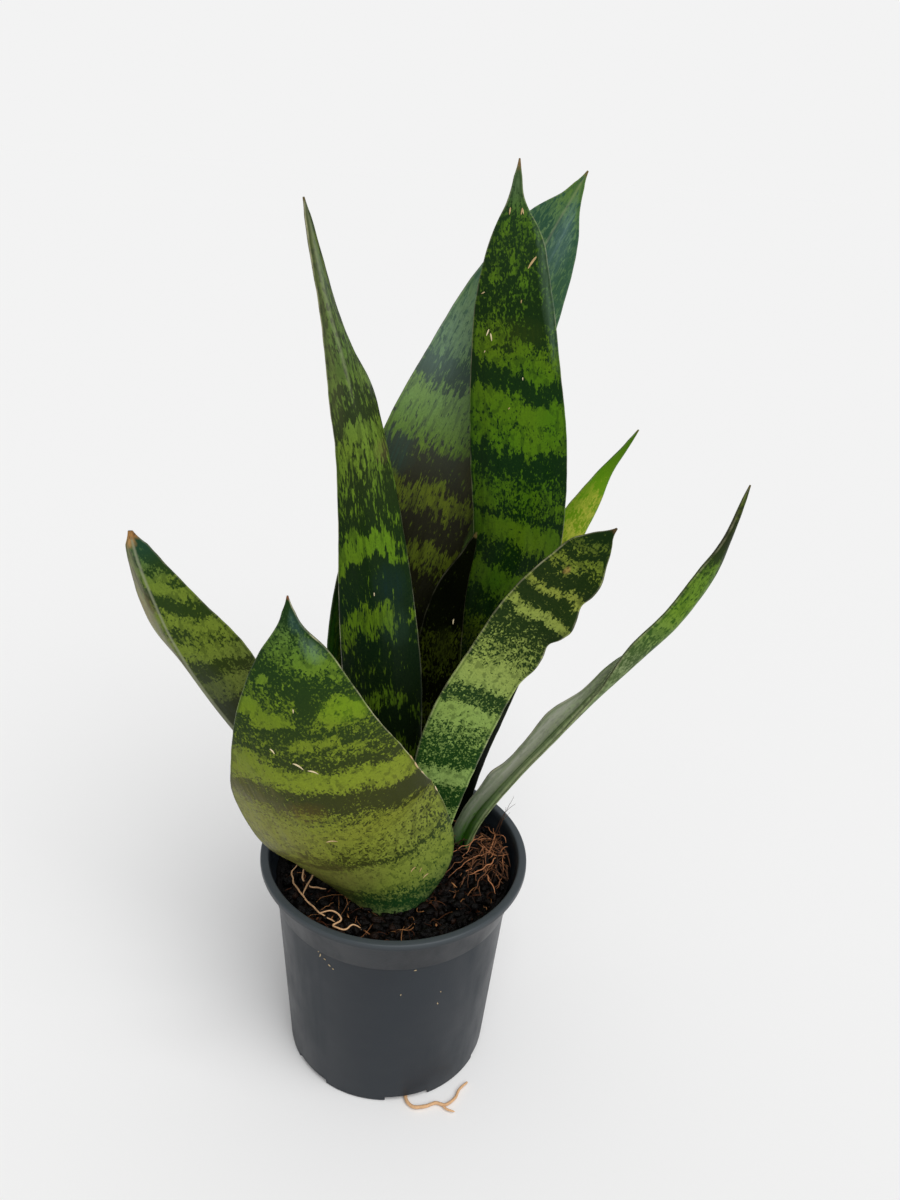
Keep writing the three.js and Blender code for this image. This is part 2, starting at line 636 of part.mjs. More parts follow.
function place(name, body, color, roughness) {
  const material = new THREE.MeshStandardMaterial({ color, roughness, metalness: 0 });
  const mesh = new THREE.Mesh(geometryOf(body), material);
  mesh.name = name;
  plant.add(mesh);
}

place('pot', buildPot(), POT_COLOR, 0.5);
place('soil', buildSoil(), SOIL_COLOR, 0.95);
place('rhizome', buildRhizome(), RHIZOME_COLOR, 0.8);
for (const leaf of LEAVES) place(leaf.name, buildLeaf(leaf), leaf.color, 0.45);
place('curly_roots', fibres(CURLY_ROOTS, FINE_ROOT_RADIUS, 0), CURLY_ROOT_COLOR, 0.8);
place('coir_fibres', fibres(COIR_FIBRES, FINE_ROOT_RADIUS - 0.1, 0), COIR_COLOR, 0.85);

export default plant;
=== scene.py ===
"""A young snake plant in a small nursery pot: the visible pieces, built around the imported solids.

Lengths inside the making functions are in millimetres and become metres where a mesh is made.
+Z is up, the pot's axis is Z, its foot stands on Z = 0 and the plant's front faces -Y.
"""

import math
import random

import bmesh
import bpy
import numpy as np
from bpy.props import FloatProperty, FloatVectorProperty, IntProperty, PointerProperty
from bpy.types import NodeSocket, Operator, Panel, PropertyGroup
from mathutils import Matrix, Vector, noise


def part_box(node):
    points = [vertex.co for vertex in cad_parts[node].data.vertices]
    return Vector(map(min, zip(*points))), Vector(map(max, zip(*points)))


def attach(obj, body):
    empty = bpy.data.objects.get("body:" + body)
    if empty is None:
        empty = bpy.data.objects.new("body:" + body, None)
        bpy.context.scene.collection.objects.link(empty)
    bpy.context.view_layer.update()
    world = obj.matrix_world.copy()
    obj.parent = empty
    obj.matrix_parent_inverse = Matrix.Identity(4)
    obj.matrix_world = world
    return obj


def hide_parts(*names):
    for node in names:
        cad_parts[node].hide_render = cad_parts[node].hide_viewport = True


bl_info = {
    "name": "Potted snake plant",
    "version": (1, 0, 0),
    "blender": (4, 5, 0),
    "location": "View3D > Sidebar > Plant",
    "description": "Builds a young snake plant in a small round nursery pot",
    "category": "Add Mesh",
}

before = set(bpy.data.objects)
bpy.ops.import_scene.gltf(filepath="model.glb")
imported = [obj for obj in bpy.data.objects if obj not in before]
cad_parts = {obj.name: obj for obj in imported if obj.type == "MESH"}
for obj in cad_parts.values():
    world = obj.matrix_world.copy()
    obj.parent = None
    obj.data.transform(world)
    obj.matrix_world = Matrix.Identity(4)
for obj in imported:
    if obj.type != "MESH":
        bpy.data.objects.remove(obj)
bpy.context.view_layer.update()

MM = 0.001
BODY = "root"

# ---------------------------------------------------------------- leaves

LEAF_FOOT = 31.7  # the buried ends of the leaves stand at this height
KEEL_SOFTNESS = 0.18  # how round the fold is, as a share of the half width
TIP_LENGTH = 6.0  # the last stretch of a blade, which thins to a point
TIP_THINNING = 0.4  # what is left of its thickness and width at the very tip
THINNEST = 0.1  # least half width of a wing
MIDDLE_THICKNESS = [(0, 2.6), (0.3, 2.2), (0.8, 1.5), (1, 0.9)]  # place along the blade, mm
MARGIN_ANGLES = (60, 20, -20, -60)  # where the points of a round margin stand, in degrees
MARGIN_UNEVENNESS = 0.1  # how far a margin strays, in mm and as a share of the half width
MARGIN_GRAIN = 0.35  # how often it does so in a millimetre
WAVE_GRAIN = (0.16, 0.07)  # how often the faces' unevenness changes across and along
RIPPLE_LIFT = 0.8  # how far a ripple lifts the margin out of the blade, as a share of its swing
LEAN_STEP = 0.02  # from a point to the two places beside it that give the blade's slope there
EDGE_PLACES = (-0.08, 0.25)  # edge value at the very margin, and what it gains up to the faces
WIDEST_ROUNDING = 0.8  # of a round margin, as a share of the half width
TIP_CROWDING = 1.15  # above 1, cross sections stand closer towards the tip
MARGIN_CROWDING = 0.9  # below 1, a section's points stand closer towards the margins

# Each station of a leaf: x, y, z of the spine, then the half width of the left and of the right
# wing, the direction the blade faces (0 = front, 90 = right, degrees), the fold of the wings
# towards that side (degrees) and the cup of the blade (depth as a share of the half width).
LEAF_STATIONS = {
    "leaf_front": [
        (1, -11, LEAF_FOOT, 3, 3, 0, 0, -0.2), (0, -14, 46, 6, 6, 0, 0, -0.4),
        (-1.5, -15, 54, 14, 15, 0, 0, -0.5), (-5, -17, 63, 18.5, 18, 0, 0, -0.48),
        (-10, -20.5, 73, 20.6, 19, 0, 0, -0.45), (-13.5, -24, 86, 19.5, 17, 0, 0, -0.35),
        (-16.5, -26, 98, 15, 14, 0, 0, -0.25), (-18.3, -27, 110, 10.3, 10, 0, 0, -0.15),
        (-19.2, -27.5, 119, 5.7, 6, 0, 0, -0.1), (-19.7, -28, 125, 1.7, 2, 0, 0, 0),
        (-19.8, -28, 130, 0.35, 0.35, 0, 0, 0),
    ],
    "leaf_left": [
        (-6, 4, LEAF_FOOT, 3, 3, -15, -32, 0), (-9, 3, 47, 3.5, 4, -15, -32, 0),
        (-16.5, 1, 60, 3, 6.5, -15, -32, 0), (-25.8, -2, 75, 2.4, 9.5, -15, -32, 0),
        (-34.5, -5, 89.5, 1.6, 11, -15, -32, 0), (-42, -8, 105, 2.6, 10.8, -15, -32, 0),
        (-44.4, -9, 111, 6.2, 9.3, -14, -32, 0), (-46.5, -10, 118, 5.5, 7, -12, -30, 0),
        (-49, -11, 128, 2.8, 3.3, -12, -22, 0), (-50, -11.5, 133.5, 1.1, 1.5, -15, 0, 0),
    ],
    "leaf_tall_left": [
        (1.5, 8.5, LEAF_FOOT, 3.2, 3.2, 0, -10, 0), (-0.5, 8, 49, 4.5, 4.5, 0, -10, 0),
        (-2.3, 7.5, 69.5, 7.2, 7.2, 0, -8, 0), (-4, 7.2, 92, 8.7, 8.4, 0, -8, 0),
        (-6, 7.2, 113, 8, 7.8, 5, -12, 0), (-8, 7.5, 131, 6.4, 6.9, 10, -20, 0),
        (-10.1, 7.5, 147, 5.1, 6.8, 24, -30, 0), (-12, 7, 155, 4.2, 7.8, 34, -31, 0),
        (-13.8, 6.5, 162, 3, 4.4, 34, -28, 0), (-16.8, 5, 173, 1.2, 3, 40, -30, 0),
        (-18.6, 4.5, 181, 0.8, 1.5, 38, -18, 0), (-20.4, 4, 190, 0.4, 0.4, 40, 0, 0),
    ],
    "leaf_back": [
        (-2, 19, LEAF_FOOT, 3.6, 3.6, 0, 5, 0.05), (-4, 18, 50, 5.5, 5.5, 0, 5, 0.05),
        (-6.1, 18, 69, 8.4, 7.8, 0, 5, 0.05), (-6.6, 18.5, 90, 10.6, 8.6, 0, 5, 0.05),
        (-4.5, 19.2, 106, 11.6, 11.9, 0, 5, 0.05), (0.5, 20.2, 124, 12.5, 14.2, 0, 5, 0.05),
        (5.5, 21, 141, 12.5, 12.8, 0, 5, 0.05), (12.3, 22.5, 157, 11.4, 12.6, 0, 4, 0.05),
        (20, 24, 173.7, 9.6, 9, 0, 5, 0.05), (25.8, 25, 186.4, 5.4, 5.1, 0, 0, 0),
        (28.5, 25.8, 191.4, 1.9, 1.9, 0, 0, 0), (30.9, 26, 196, 0.35, 0.35, 0, 0, 0),
    ],
    "leaf_centre": [
        (11.5, 14.5, LEAF_FOOT, 3.2, 3.2, 5, 0, -0.05), (12, 14.5, 50, 4.6, 4.6, 5, 0, -0.05),
        (14, 14.7, 68, 6.2, 6.2, 5, 0, -0.05), (17.8, 14.6, 86, 8.6, 7.6, 5, 0, -0.05),
        (21.6, 14.4, 104, 10.2, 8.8, 5, -3, -0.05), (23.2, 13.8, 122.5, 9.7, 9, 0, -3, -0.05),
        (21.4, 12.5, 145, 9.9, 9.5, 0, -4, -0.05), (19.3, 12, 162, 8.9, 8.2, 0, -5, -0.05),
        (17.5, 11, 176, 6.9, 6.8, 0, -6, 0), (16.7, 10, 186, 4, 4.5, 0, -6, 0),
        (16.5, 9.5, 191.2, 1.7, 1.4, 0, 0, 0), (16.2, 8, 198, 0.35, 0.35, 0, 0, 0),
    ],
    "leaf_young": [
        (7, 11.4, LEAF_FOOT, 2.6, 2.6, 10, 0, 0), (7.2, 11.3, 50, 3.2, 3.2, 10, 0, 0),
        (7.5, 11.3, 70, 4.6, 4.6, 8, 0, 0), (7.7, 11.3, 87, 5, 5, 6, 0, 0),
        (8, 11.2, 102, 4.8, 4.6, 6, -4, 0), (10, 11, 115, 3.3, 3.1, 10, -10, 0),
        (12.6, 10.6, 123, 1.3, 1.3, 10, -10, 0), (13.9, 10.4, 127.6, 0.5, 0.5, 10, 0, 0),
    ],
    "leaf_behind_right": [
        (10.8, 17.5, LEAF_FOOT, 2.2, 2.2, 10, -5, 0), (11.8, 18.2, 48, 3, 3, 10, -10, 0),
        (15, 18.6, 62, 3.4, 3.4, 10, -10, 0), (20, 19.3, 80, 4.2, 4.2, 10, -10, 0),
        (27, 21, 101, 4.3, 4.3, 10, -10, 0), (34.8, 23, 122, 4.5, 3.5, 10, -10, 0),
        (38.8, 24, 131, 2.9, 2.9, 10, -10, 0), (42.3, 25, 137.5, 1.6, 1, 10, -4, 0),
        (45.4, 25.5, 142.6, 0.6, 0.5, 10, 0, 0), (47.7, 26, 146.4, 0.4, 0.4, 10, 0, 0),
    ],
    "leaf_right": [
        (8, 6, LEAF_FOOT, 3, 3, -5, 8, 0.1), (7.2, 4.5, 50, 3.6, 3.6, -5, 8, 0.1),
        (8, 2.8, 64, 5, 5.6, -5, 8, 0.1), (9.8, 1, 78, 6.2, 7, -5, 8, 0.1),
        (13.5, -1, 92, 6.6, 7.1, -6, 9, 0.1), (19.7, -3, 105.5, 6.8, 5.9, -8, 7, 0.1),
        (26, -4.8, 117.2, 7.1, 6.8, -18, 6, 0.1), (32.5, -6, 126.8, 6.3, 4.9, -19, 5, 0.1),
        (35.6, -6.2, 131.6, 4.8, 2.9, -15, 2, 0), (37.4, -6.2, 134.6, 1.9, 1.4, -15, 0, 0),
        (38.9, -6.2, 136.4, 0.4, 0.4, -15, 0, 0),
    ],
    "leaf_arching": [
        (14.5, 8, LEAF_FOOT, 2.8, 2.8, -50, 28, 0), (15.5, 7.5, 46, 3.4, 3, -55, 28, 0),
        (18.6, 7.2, 57, 3.8, 2.6, -60, 28, 0), (26, 6.4, 70, 3.3, 1.4, -60, 28, 0),
        (34, 5.6, 82, 3.6, 1.3, -66, 29, 0), (41.5, 4.8, 93, 2.7, 1.7, -87, 33, 0),
        (49.3, 3.8, 103.5, 5.5, 4.3, -126, 24, 0), (56, 2.8, 114, 2.4, 3.6, -148, 10, 0),
        (60.8, 1.8, 125.5, 2, 2.9, -150, 5, 0), (62.4, 1.2, 131.5, 0.9, 1.3, -150, 0, 0),
        (64.6, 0.2, 144, 0.4, 0.4, -150, 0, 0),
    ],
}

# Ripples in a margin: side (-1 left, 1 right), place along the blade, outward swing, reach.
LEAF_RIPPLES = {
    "leaf_right": [
        (1, 0.7, 0.5, 0.025), (1, 0.76, -1.1, 0.02), (1, 0.815, 0.5, 0.02), (1, 0.86, -0.9, 0.018),
        (1, 0.91, 0.5, 0.02),
    ],
    "leaf_arching": [(-1, 0.3, 0.8, 0.03), (-1, 0.47, 0.9, 0.05)],
}

# How each leaf is patterned. slant and bow: how far the bands run down towards the right margin
# and towards both margins, as a share of the blade. streak: 0 for round mottling, 1 for long
# streaks. keel: strength of the pale line on the fold and the place it starts at. tip: the place
# where the dry tip starts, and its colour. seed: sets the leaf's mottling apart from the others'.
# rim: strength of the pale rim on the left and the right margin. gloss: the skin's own, if not the
# usual. light and dark: colour at places along the blade; the darkest stops low on a blade are
# painted shade near the soil. bands: how much of the surface is dark there, 0 to 1; high shares
# near a leaf's foot are painted shade. washes: soft patches, each with its middle across and along
# the blade, its reach across and along, its colour and strength; some are the leaf's own tints,
# others are painted sheen, painted reflection, painted shade and painted light showing through,
# each noted at its leaf. islands: spots with more or less dark than their band has, each with its
# middle, its reach and the change.
LEAF_LOOKS = {
    "leaf_front": dict(
        slot="leaf_olive", slant=0.045, streak=0.15, tip=(0.992, "8A5136"), seed=1, rim=(0.12, 1),
        light=[
            (0.1, "6E8662"), (0.17, "6C8452"), (0.24, "7E8E3E"), (0.45, "888E34"), (0.6, "82922A"),
            (0.7, "728426"), (0.78, "6C861E"), (0.88, "5E8028"), (0.92, "587C34"), (0.96, "3A5A3C"),
        ],
        dark=[
            (0.1, "18401F"), (0.2, "163C1A"), (0.35, "2E3314"), (0.55, "303414"), (0.7, "233412"),
            (0.85, "16300F"),
        ],
        bands=[
            (0, 0.1), (0.155, 0.2), (0.17, 0.35), (0.19, 0.6), (0.205, 0.7), (0.225, 0.45), (0.235, 0.6),
            (0.25, 0.25), (0.3, 0.2), (0.325, 0.35), (0.34, 0.72), (0.35, 0.4), (0.4, 0.35), (0.43, 0.25),
            (0.48, 0.33), (0.51, 0.5), (0.53, 0.75), (0.565, 0.82), (0.585, 0.4), (0.605, 0.12),
            (0.63, 0.15), (0.645, 0.6), (0.66, 0.8), (0.675, 0.55), (0.69, 0.65), (0.72, 0.72),
            (0.735, 0.62), (0.75, 0.5), (0.785, 0.55), (0.8, 0.68), (0.83, 0.76), (0.85, 0.65),
            (0.865, 0.42), (0.9, 0.38), (0.93, 0.48), (0.945, 0.65), (1, 0.75),
        ],
        # The two blue-grey washes near the tip are painted sheen.
        washes=[
            (-1.1, 0.4, 0.8, 0.26, "827A42", 0.6), (-0.25, 0.53, 0.22, 0.03, "5A481A", 0.5),
            (0.7, 0.765, 0.4, 0.03, "6E9A08", 0.3), (0.6, 0.955, 0.6, 0.025, "46646A", 0.35),
            (0.6, 0.9, 0.3, 0.03, "7C9A84", 0.3), (-0.5, 0.3, 0.6, 0.05, "7A7440", 0.4),
        ],
        islands=[
            (0.65, 0.765, 0.4, 0.026, -0.65), (-0.85, 0.785, 0.3, 0.026, -0.6),
            (-0.45, 0.755, 0.25, 0.016, -0.5), (-0.65, 0.84, 0.12, 0.012, -0.5),
            (0.1, 0.785, 0.3, 0.025, 0.45), (0.05, 0.7, 0.3, 0.014, -0.5),
            (0.55, 0.672, 0.32, 0.012, -0.5), (-0.75, 0.68, 0.3, 0.012, -0.4),
            (0.75, 0.49, 0.25, 0.04, 0.3), (0.85, 0.55, 0.3, 0.02, -0.2), (0.9, 0.42, 0.12, 0.06, 0.25),
            (-0.5, 0.37, 0.5, 0.03, 0.2), (0.4, 0.87, 0.3, 0.02, -0.25),
        ],
    ),
    "leaf_left": dict(
        slot="leaf_olive", slant=0.06, streak=0.35, keel=(0.6, 0.3), tip=(0.985, "B98A50"), seed=2,
        rim=(0.2, 0.3),
        light=[(0.3, "5A6A30"), (0.65, "6C783E"), (0.75, "748632"), (0.9, "6E8430"), (0.96, "4A6A40")],
        dark=[(0.3, "242C16"), (0.62, "30351F"), (0.7, "2B3716"), (0.93, "1E3612"), (0.97, "1E3E2A")],
        bands=[
            (0, 0.5), (0.55, 0.5), (0.6, 0.85), (0.64, 0.75), (0.66, 0.35), (0.69, 0.2), (0.715, 0.6),
            (0.735, 0.75), (0.75, 0.3), (0.77, 0.2), (0.79, 0.5), (0.81, 0.35), (0.83, 0.12), (0.85, 0.3),
            (0.865, 0.85), (0.885, 0.8), (0.9, 0.2), (0.92, 0.15), (0.932, 0.75), (0.945, 0.4),
            (0.96, 0.45), (0.975, 0.8), (1, 0.85),
        ],
        # The first wash, grey over the left wing, is a painted reflection of the bright sky.
        washes=[
            (-0.95, 0.76, 0.75, 0.34, "968F6E", 0.9), (-0.9, 0.84, 0.5, 0.04, "8E8056", 0.6),
            (-0.35, 0.74, 0.3, 0.14, "726E58", 0.6), (-0.25, 0.865, 0.2, 0.02, "4A3818", 0.8),
            (0.1, 0.64, 0.3, 0.1, "40463A", 0.7), (-0.5, 0.99, 0.8, 0.02, "C2935A", 1),
        ],
        islands=[(0.2, 0.9, 0.4, 0.012, -0.3), (0.4, 0.8, 0.3, 0.012, 0.25), (0.1, 0.7, 0.3, 0.014, 0.2)],
    ),
    "leaf_tall_left": dict(
        slot="leaf_dark", bow=0.03, streak=1, keel=(0.28, 0.76), tip=(0.992, "5A5A32"), seed=3,
        rim=(1, 0.25),
        light=[
            (0.1, "223808"), (0.3, "34500F"), (0.4, "4C6A16"), (0.5, "5A7E18"), (0.6, "5E861A"),
            (0.72, "6C8832"), (0.8, "66843E"), (0.84, "607E42"), (0.93, "5E6C40"), (0.97, "545F2C"),
        ],
        dark=[
            (0.1, "050A04"), (0.35, "061208"), (0.5, "081E12"), (0.6, "10240C"), (0.72, "243016"),
            (0.85, "323C28"),
        ],
        bands=[
            (0, 0.8), (0.24, 0.8), (0.265, 0.45), (0.29, 0.45), (0.31, 0.85), (0.335, 0.9), (0.35, 0.5),
            (0.368, 0.45), (0.385, 0.85), (0.4, 0.7), (0.42, 0.75), (0.445, 0.9), (0.46, 0.5),
            (0.485, 0.3), (0.5, 0.4), (0.515, 0.8), (0.56, 0.85), (0.572, 0.3), (0.6, 0.2), (0.612, 0.75),
            (0.64, 0.65), (0.665, 0.65), (0.685, 0.5), (0.71, 0.35), (0.742, 0.35), (0.755, 0.85),
            (0.778, 0.5), (0.79, 0.75), (0.805, 0.35), (0.83, 0.35), (0.845, 0.6), (0.86, 0.35),
            (0.89, 0.5), (0.93, 0.4), (1, 0.4),
        ],
        # The two blue washes halfway up are painted sheen.
        washes=[
            (-0.95, 0.9, 0.7, 0.16, "62663E", 0.6), (0.7, 0.7, 0.35, 0.014, "6E6040", 0.4),
            (0.4, 0.53, 0.4, 0.03, "14303C", 0.3), (0.45, 0.47, 0.35, 0.03, "3C5A48", 0.2),
            (0.2, 0.93, 0.3, 0.05, "7C9070", 0.4),
        ],
        islands=[(0.7, 0.49, 0.4, 0.06, 0.3), (0.8, 0.41, 0.35, 0.06, 0.3), (0.9, 0.6, 0.25, 0.1, 0.2)],
    ),
    "leaf_back": dict(
        slot="leaf_dark", streak=0.9, keel=(0.25, 0.7), tip=(0.992, "6E6B36"), seed=4, rim=(0.15, 0.15),
        light=[
            (0.2, "1A2406"), (0.45, "343F0C"), (0.6, "5A6620"), (0.655, "62823A"), (0.7, "789A5E"),
            (0.8, "7E9E78"), (0.86, "5E8458"), (0.93, "547A5C"), (0.98, "567A34"),
        ],
        dark=[
            (0.2, "060704"), (0.5, "15130C"), (0.6, "24221A"), (0.64, "34362E"), (0.74, "46564E"),
            (0.82, "3E5E44"), (0.95, "284A38"),
        ],
        bands=[
            (0, 0.75), (0.3, 0.7), (0.4, 0.45), (0.43, 0.85), (0.48, 0.85), (0.5, 0.4), (0.525, 0.35),
            (0.54, 0.8), (0.565, 0.8), (0.58, 0.35), (0.6, 0.35), (0.612, 0.8), (0.64, 0.85),
            (0.65, 0.35), (0.69, 0.22), (0.715, 0.3), (0.725, 0.75), (0.745, 0.72), (0.755, 0.4),
            (0.8, 0.3), (0.84, 0.45), (0.87, 0.62), (0.93, 0.58), (0.97, 0.2), (1, 0.2),
        ],
        # The first three washes, pale blue-grey, are painted sheen.
        washes=[
            (-0.75, 0.77, 0.4, 0.05, "8AA49C", 0.25), (0.4, 0.93, 0.35, 0.05, "7C98A0", 0.25),
            (-0.6, 0.85, 0.4, 0.04, "8CA69C", 0.25), (0.8, 0.66, 0.4, 0.05, "504C20", 0.5),
            (0.96, 0.55, 0.12, 0.045, "5E7E3A", 0.8), (-0.75, 0.63, 0.35, 0.03, "2E4C42", 0.5),
            (-0.95, 0.37, 0.22, 0.09, "1E4A12", 0.8),
        ],
    ),
    "leaf_centre": dict(
        slot="leaf_dark", slant=0.018, streak=0.45, tip=(0.988, "8E7850"), seed=5, rim=(0.35, 0.3),
        light=[
            (0.2, "0A1202"), (0.42, "2C3C04"), (0.5, "345608"), (0.7, "427006"), (0.8, "466C0A"),
            (0.94, "48701E"), (0.975, "4E6A4C"),
        ],
        dark=[(0.2, "020501"), (0.45, "041A04"), (0.7, "042408"), (0.85, "0C2408"), (0.96, "1A3218")],
        bands=[
            (0, 0.85), (0.3, 0.8), (0.4, 0.45), (0.43, 0.45), (0.45, 0.8), (0.47, 0.65), (0.485, 0.25),
            (0.51, 0.15), (0.525, 0.75), (0.545, 0.72), (0.558, 0.12), (0.578, 0.12), (0.59, 0.7),
            (0.605, 0.5), (0.625, 0.4), (0.65, 0.6), (0.66, 0.85), (0.675, 0.75), (0.688, 0.2),
            (0.7, 0.3), (0.715, 0.35), (0.735, 0.12), (0.75, 0.8), (0.765, 0.85), (0.778, 0.25),
            (0.8, 0.35), (0.82, 0.5), (0.84, 0.68), (0.93, 0.62), (0.96, 0.3), (1, 0.2),
        ],
        # The pale wash at the right margin is painted sheen; the near-black washes on the left and across
        # the foot are painted shade.
        washes=[
            (0.95, 0.87, 0.25, 0.09, "6E8C72", 0.4), (-1, 0.5, 0.5, 0.32, "0A1204", 0.6),
            (-0.2, 0.815, 0.9, 0.02, "4A560C", 0.2), (0, 0.25, 1.5, 0.2, "030602", 0.7),
        ],
        islands=[
            (0.55, 0.82, 0.4, 0.02, 0.35), (-0.4, 0.8, 0.3, 0.01, 0.25), (-0.05, 0.9, 0.16, 0.012, -0.35),
            (0.25, 0.872, 0.14, 0.012, -0.35), (-0.55, 0.885, 0.16, 0.01, -0.3),
            (-0.5, 0.93, 0.2, 0.01, -0.25), (0.4, 0.72, 0.3, 0.01, -0.3), (-0.1, 0.705, 0.2, 0.008, 0.25),
            (-0.7, 0.62, 0.25, 0.012, -0.3),
        ],
    ),
    # leaf_young: its near-black tones are painted shade of the deep gap between the leaves, with faint olive
    # patches of its own.
    "leaf_young": dict(
        slot="leaf_dark", streak=0.6, tip=(0.985, "3A4A20"), seed=6, rim=(0.1, 0.1), gloss=0,
        light=[(0.2, "060702"), (0.6, "0E1004"), (0.9, "060804"), (0.97, "121C06"), (1, "2A3E10")],
        dark=[(0.2, "020301"), (1, "040503")],
        bands=[
            (0, 0.6), (0.5, 0.6), (0.55, 0.4), (0.6, 0.8), (0.65, 0.5), (0.74, 0.5), (0.78, 0.9),
            (1, 0.9),
        ],
        washes=[(0.1, 0.72, 0.5, 0.04, "20260A", 0.6)],
    ),
    "leaf_behind_right": dict(
        slot="leaf_light", streak=0.5, tip=(0.99, "5F6F1E"), seed=7, rim=(0.2, 0.3),
        light=[
            (0.1, "1E340C"), (0.5, "4A6C14"), (0.76, "B4BA44"), (0.86, "AAB43C"), (0.91, "749616"),
            (1, "446808"),
        ],
        dark=[(0.1, "0A1404"), (0.6, "244410"), (0.76, "6E8A14"), (0.88, "5A860C"), (1, "345808")],
        bands=[
            (0, 0.7), (0.5, 0.6), (0.55, 0.3), (0.6, 0.7), (0.66, 0.3), (0.7, 0.6), (0.75, 0.4),
            (0.78, 0.2), (0.8, 0.6), (0.82, 0.5), (0.835, 0.15), (0.85, 0.6), (0.865, 0.2), (0.88, 0.6),
            (0.9, 0.8), (1, 0.95),
        ],
        washes=[(-1, 0.88, 0.7, 0.14, "4A7C08", 0.8), (-0.1, 0.755, 0.3, 0.014, "28380C", 0.8)],
    ),
    "leaf_right": dict(
        slot="leaf_light", slant=-0.012, streak=0.05, tip=(0.988, "37371F"), seed=8, rim=(0.55, 0.45),
        light=[
            (0.1, "3E6E2C"), (0.26, "B2D474"), (0.36, "AED076"), (0.45, "A0C268"), (0.55, "A0BE64"),
            (0.64, "A2B660"), (0.78, "98A852"), (0.85, "929C42"), (0.92, "6E7E2A"), (0.97, "3C5020"),
        ],
        dark=[(0.1, "061C08"), (0.35, "123E14"), (0.6, "10300E"), (0.75, "0C2606"), (0.95, "0C2206")],
        bands=[
            (0, 0.7), (0.25, 0.4), (0.285, 0.35), (0.3, 0.7), (0.345, 0.72), (0.362, 0.3), (0.38, 0.15),
            (0.4, 0.35), (0.415, 0.7), (0.44, 0.65), (0.475, 0.55), (0.51, 0.45), (0.527, 0.2),
            (0.555, 0.2), (0.572, 0.65), (0.6, 0.65), (0.618, 0.2), (0.65, 0.15), (0.675, 0.42),
            (0.72, 0.55), (0.745, 0.65), (0.78, 0.82), (0.79, 0.35), (0.803, 0.2), (0.815, 0.85),
            (0.838, 0.85), (0.845, 0.3), (0.855, 0.25), (0.865, 0.85), (0.885, 0.82), (0.9, 0.55),
            (0.915, 0.35), (0.928, 0.85), (0.94, 0.5), (0.955, 0.45), (0.97, 0.85), (1, 0.95),
        ],
        washes=[(-0.3, 0.892, 0.1, 0.008, "B08A50", 0.6), (0.95, 0.77, 0.25, 0.04, "1C2C12", 0.5)],
    ),
    "leaf_arching": dict(
        slot="leaf_light", streak=0.7, tip=(0.992, "5A5A2A"), seed=9, rim=(0.7, 0.35),
        light=[
            (0.05, "1E600C"), (0.2, "347018"), (0.35, "80945E"), (0.55, "8CA470"), (0.64, "8C9C70"),
            (0.7, "74924A"), (0.76, "6E962C"), (0.85, "648A28"), (0.9, "464E12"), (1, "4C5E16"),
        ],
        dark=[
            (0.05, "123A0A"), (0.3, "566446"), (0.55, "54643C"), (0.66, "3C5426"), (0.75, "2A520C"),
            (0.9, "1E280E"),
        ],
        bands=[
            (0, 0.5), (0.2, 0.3), (0.5, 0.4), (0.62, 0.5), (0.68, 0.6), (0.73, 0.35), (0.82, 0.35),
            (0.86, 0.5), (0.88, 0.9), (0.91, 0.9), (0.94, 0.5), (1, 0.4),
        ],
        # The first two washes, grey over the left wing, are a painted reflection; the third, dark green, is
        # painted shade in the fold; the fifth, pale green on the right, and the sixth, bright green at the
        # foot, are painted light showing through the blade.
        washes=[
            (-0.85, 0.36, 0.7, 0.26, "A0A294", 0.95), (-0.3, 0.4, 0.25, 0.2, "7C806E", 0.6),
            (0.25, 0.36, 0.5, 0.22, "1A300A", 0.7), (-0.02, 0.42, 0.14, 0.2, "2C4A0C", 0.95),
            (0.75, 0.4, 0.5, 0.2, "8A9C74", 0.5), (0.3, 0.12, 1.4, 0.07, "26660E", 0.8),
        ],
    ),
}

LEAF_SPECULAR = 0.06
LOOK_DEFAULTS = dict(slant=0, bow=0, islands=(), gloss=LEAF_SPECULAR)
BAND_CONTRAST = 0.54  # how far the bands' shares are kept from all light and all dark
# Painted shade darkens the low stops of the leaves' tone ramps, and the backs leave it out.
BACK_TONE = 0.55  # a blade's back takes its tones from no lower than this place

FLAME_PUSH = 0.022  # how far flames push a band along the blade, as a share of its length
TOOTH_PUSH = 0.014  # the same for teeth
STREAK_PUSH = 0.012  # what the teeth have more where the mottling is all streaks
GRAIN_SHARES = (0.54, 0.36, 0.1)  # of speckle, lace and blotches in the grain of the bands
SPECKLE_SHARPNESS = 10.0

# How many grains each of the skin's noises has in a millimetre across and along the blade. The
# last number keeps the two faces apart.
FLAME_GRAIN = (0.2, 0.05, 1)
TOOTH_GRAIN = (0.85, 0.14, 1)
BLOTCH_GRAIN = (0.3, 0.2, 1)
VEIN_GRAIN = (1.6, 0.04, 1)
CLOUD_GRAIN = (0.12, 0.08, 1)
FINE_GRAIN = (2.6, 1.8, 1)
RIM_GRAIN = (0.3, 0.22, 1)
DENT_GRAIN = (0.3, 0.1, 1)
# The same for the mottling, first where it is round and then where it is all streaks.
SPECKLE_GRAINS = ((2.3, 1.9, 1), (2.8, 0.5, 1))
LACE_GRAINS = ((0.95, 0.8, 1), (1.35, 0.25, 1))
HALFWAY_GRAINS = ((0.7, 0.6, 1), (1.1, 0.15, 1))

SUNNY_GREEN = "94A41E"
SHADY_GREEN = "1C300C"
KEEL_GREY = "989C80"
TIP_BROWN = "5A4128"

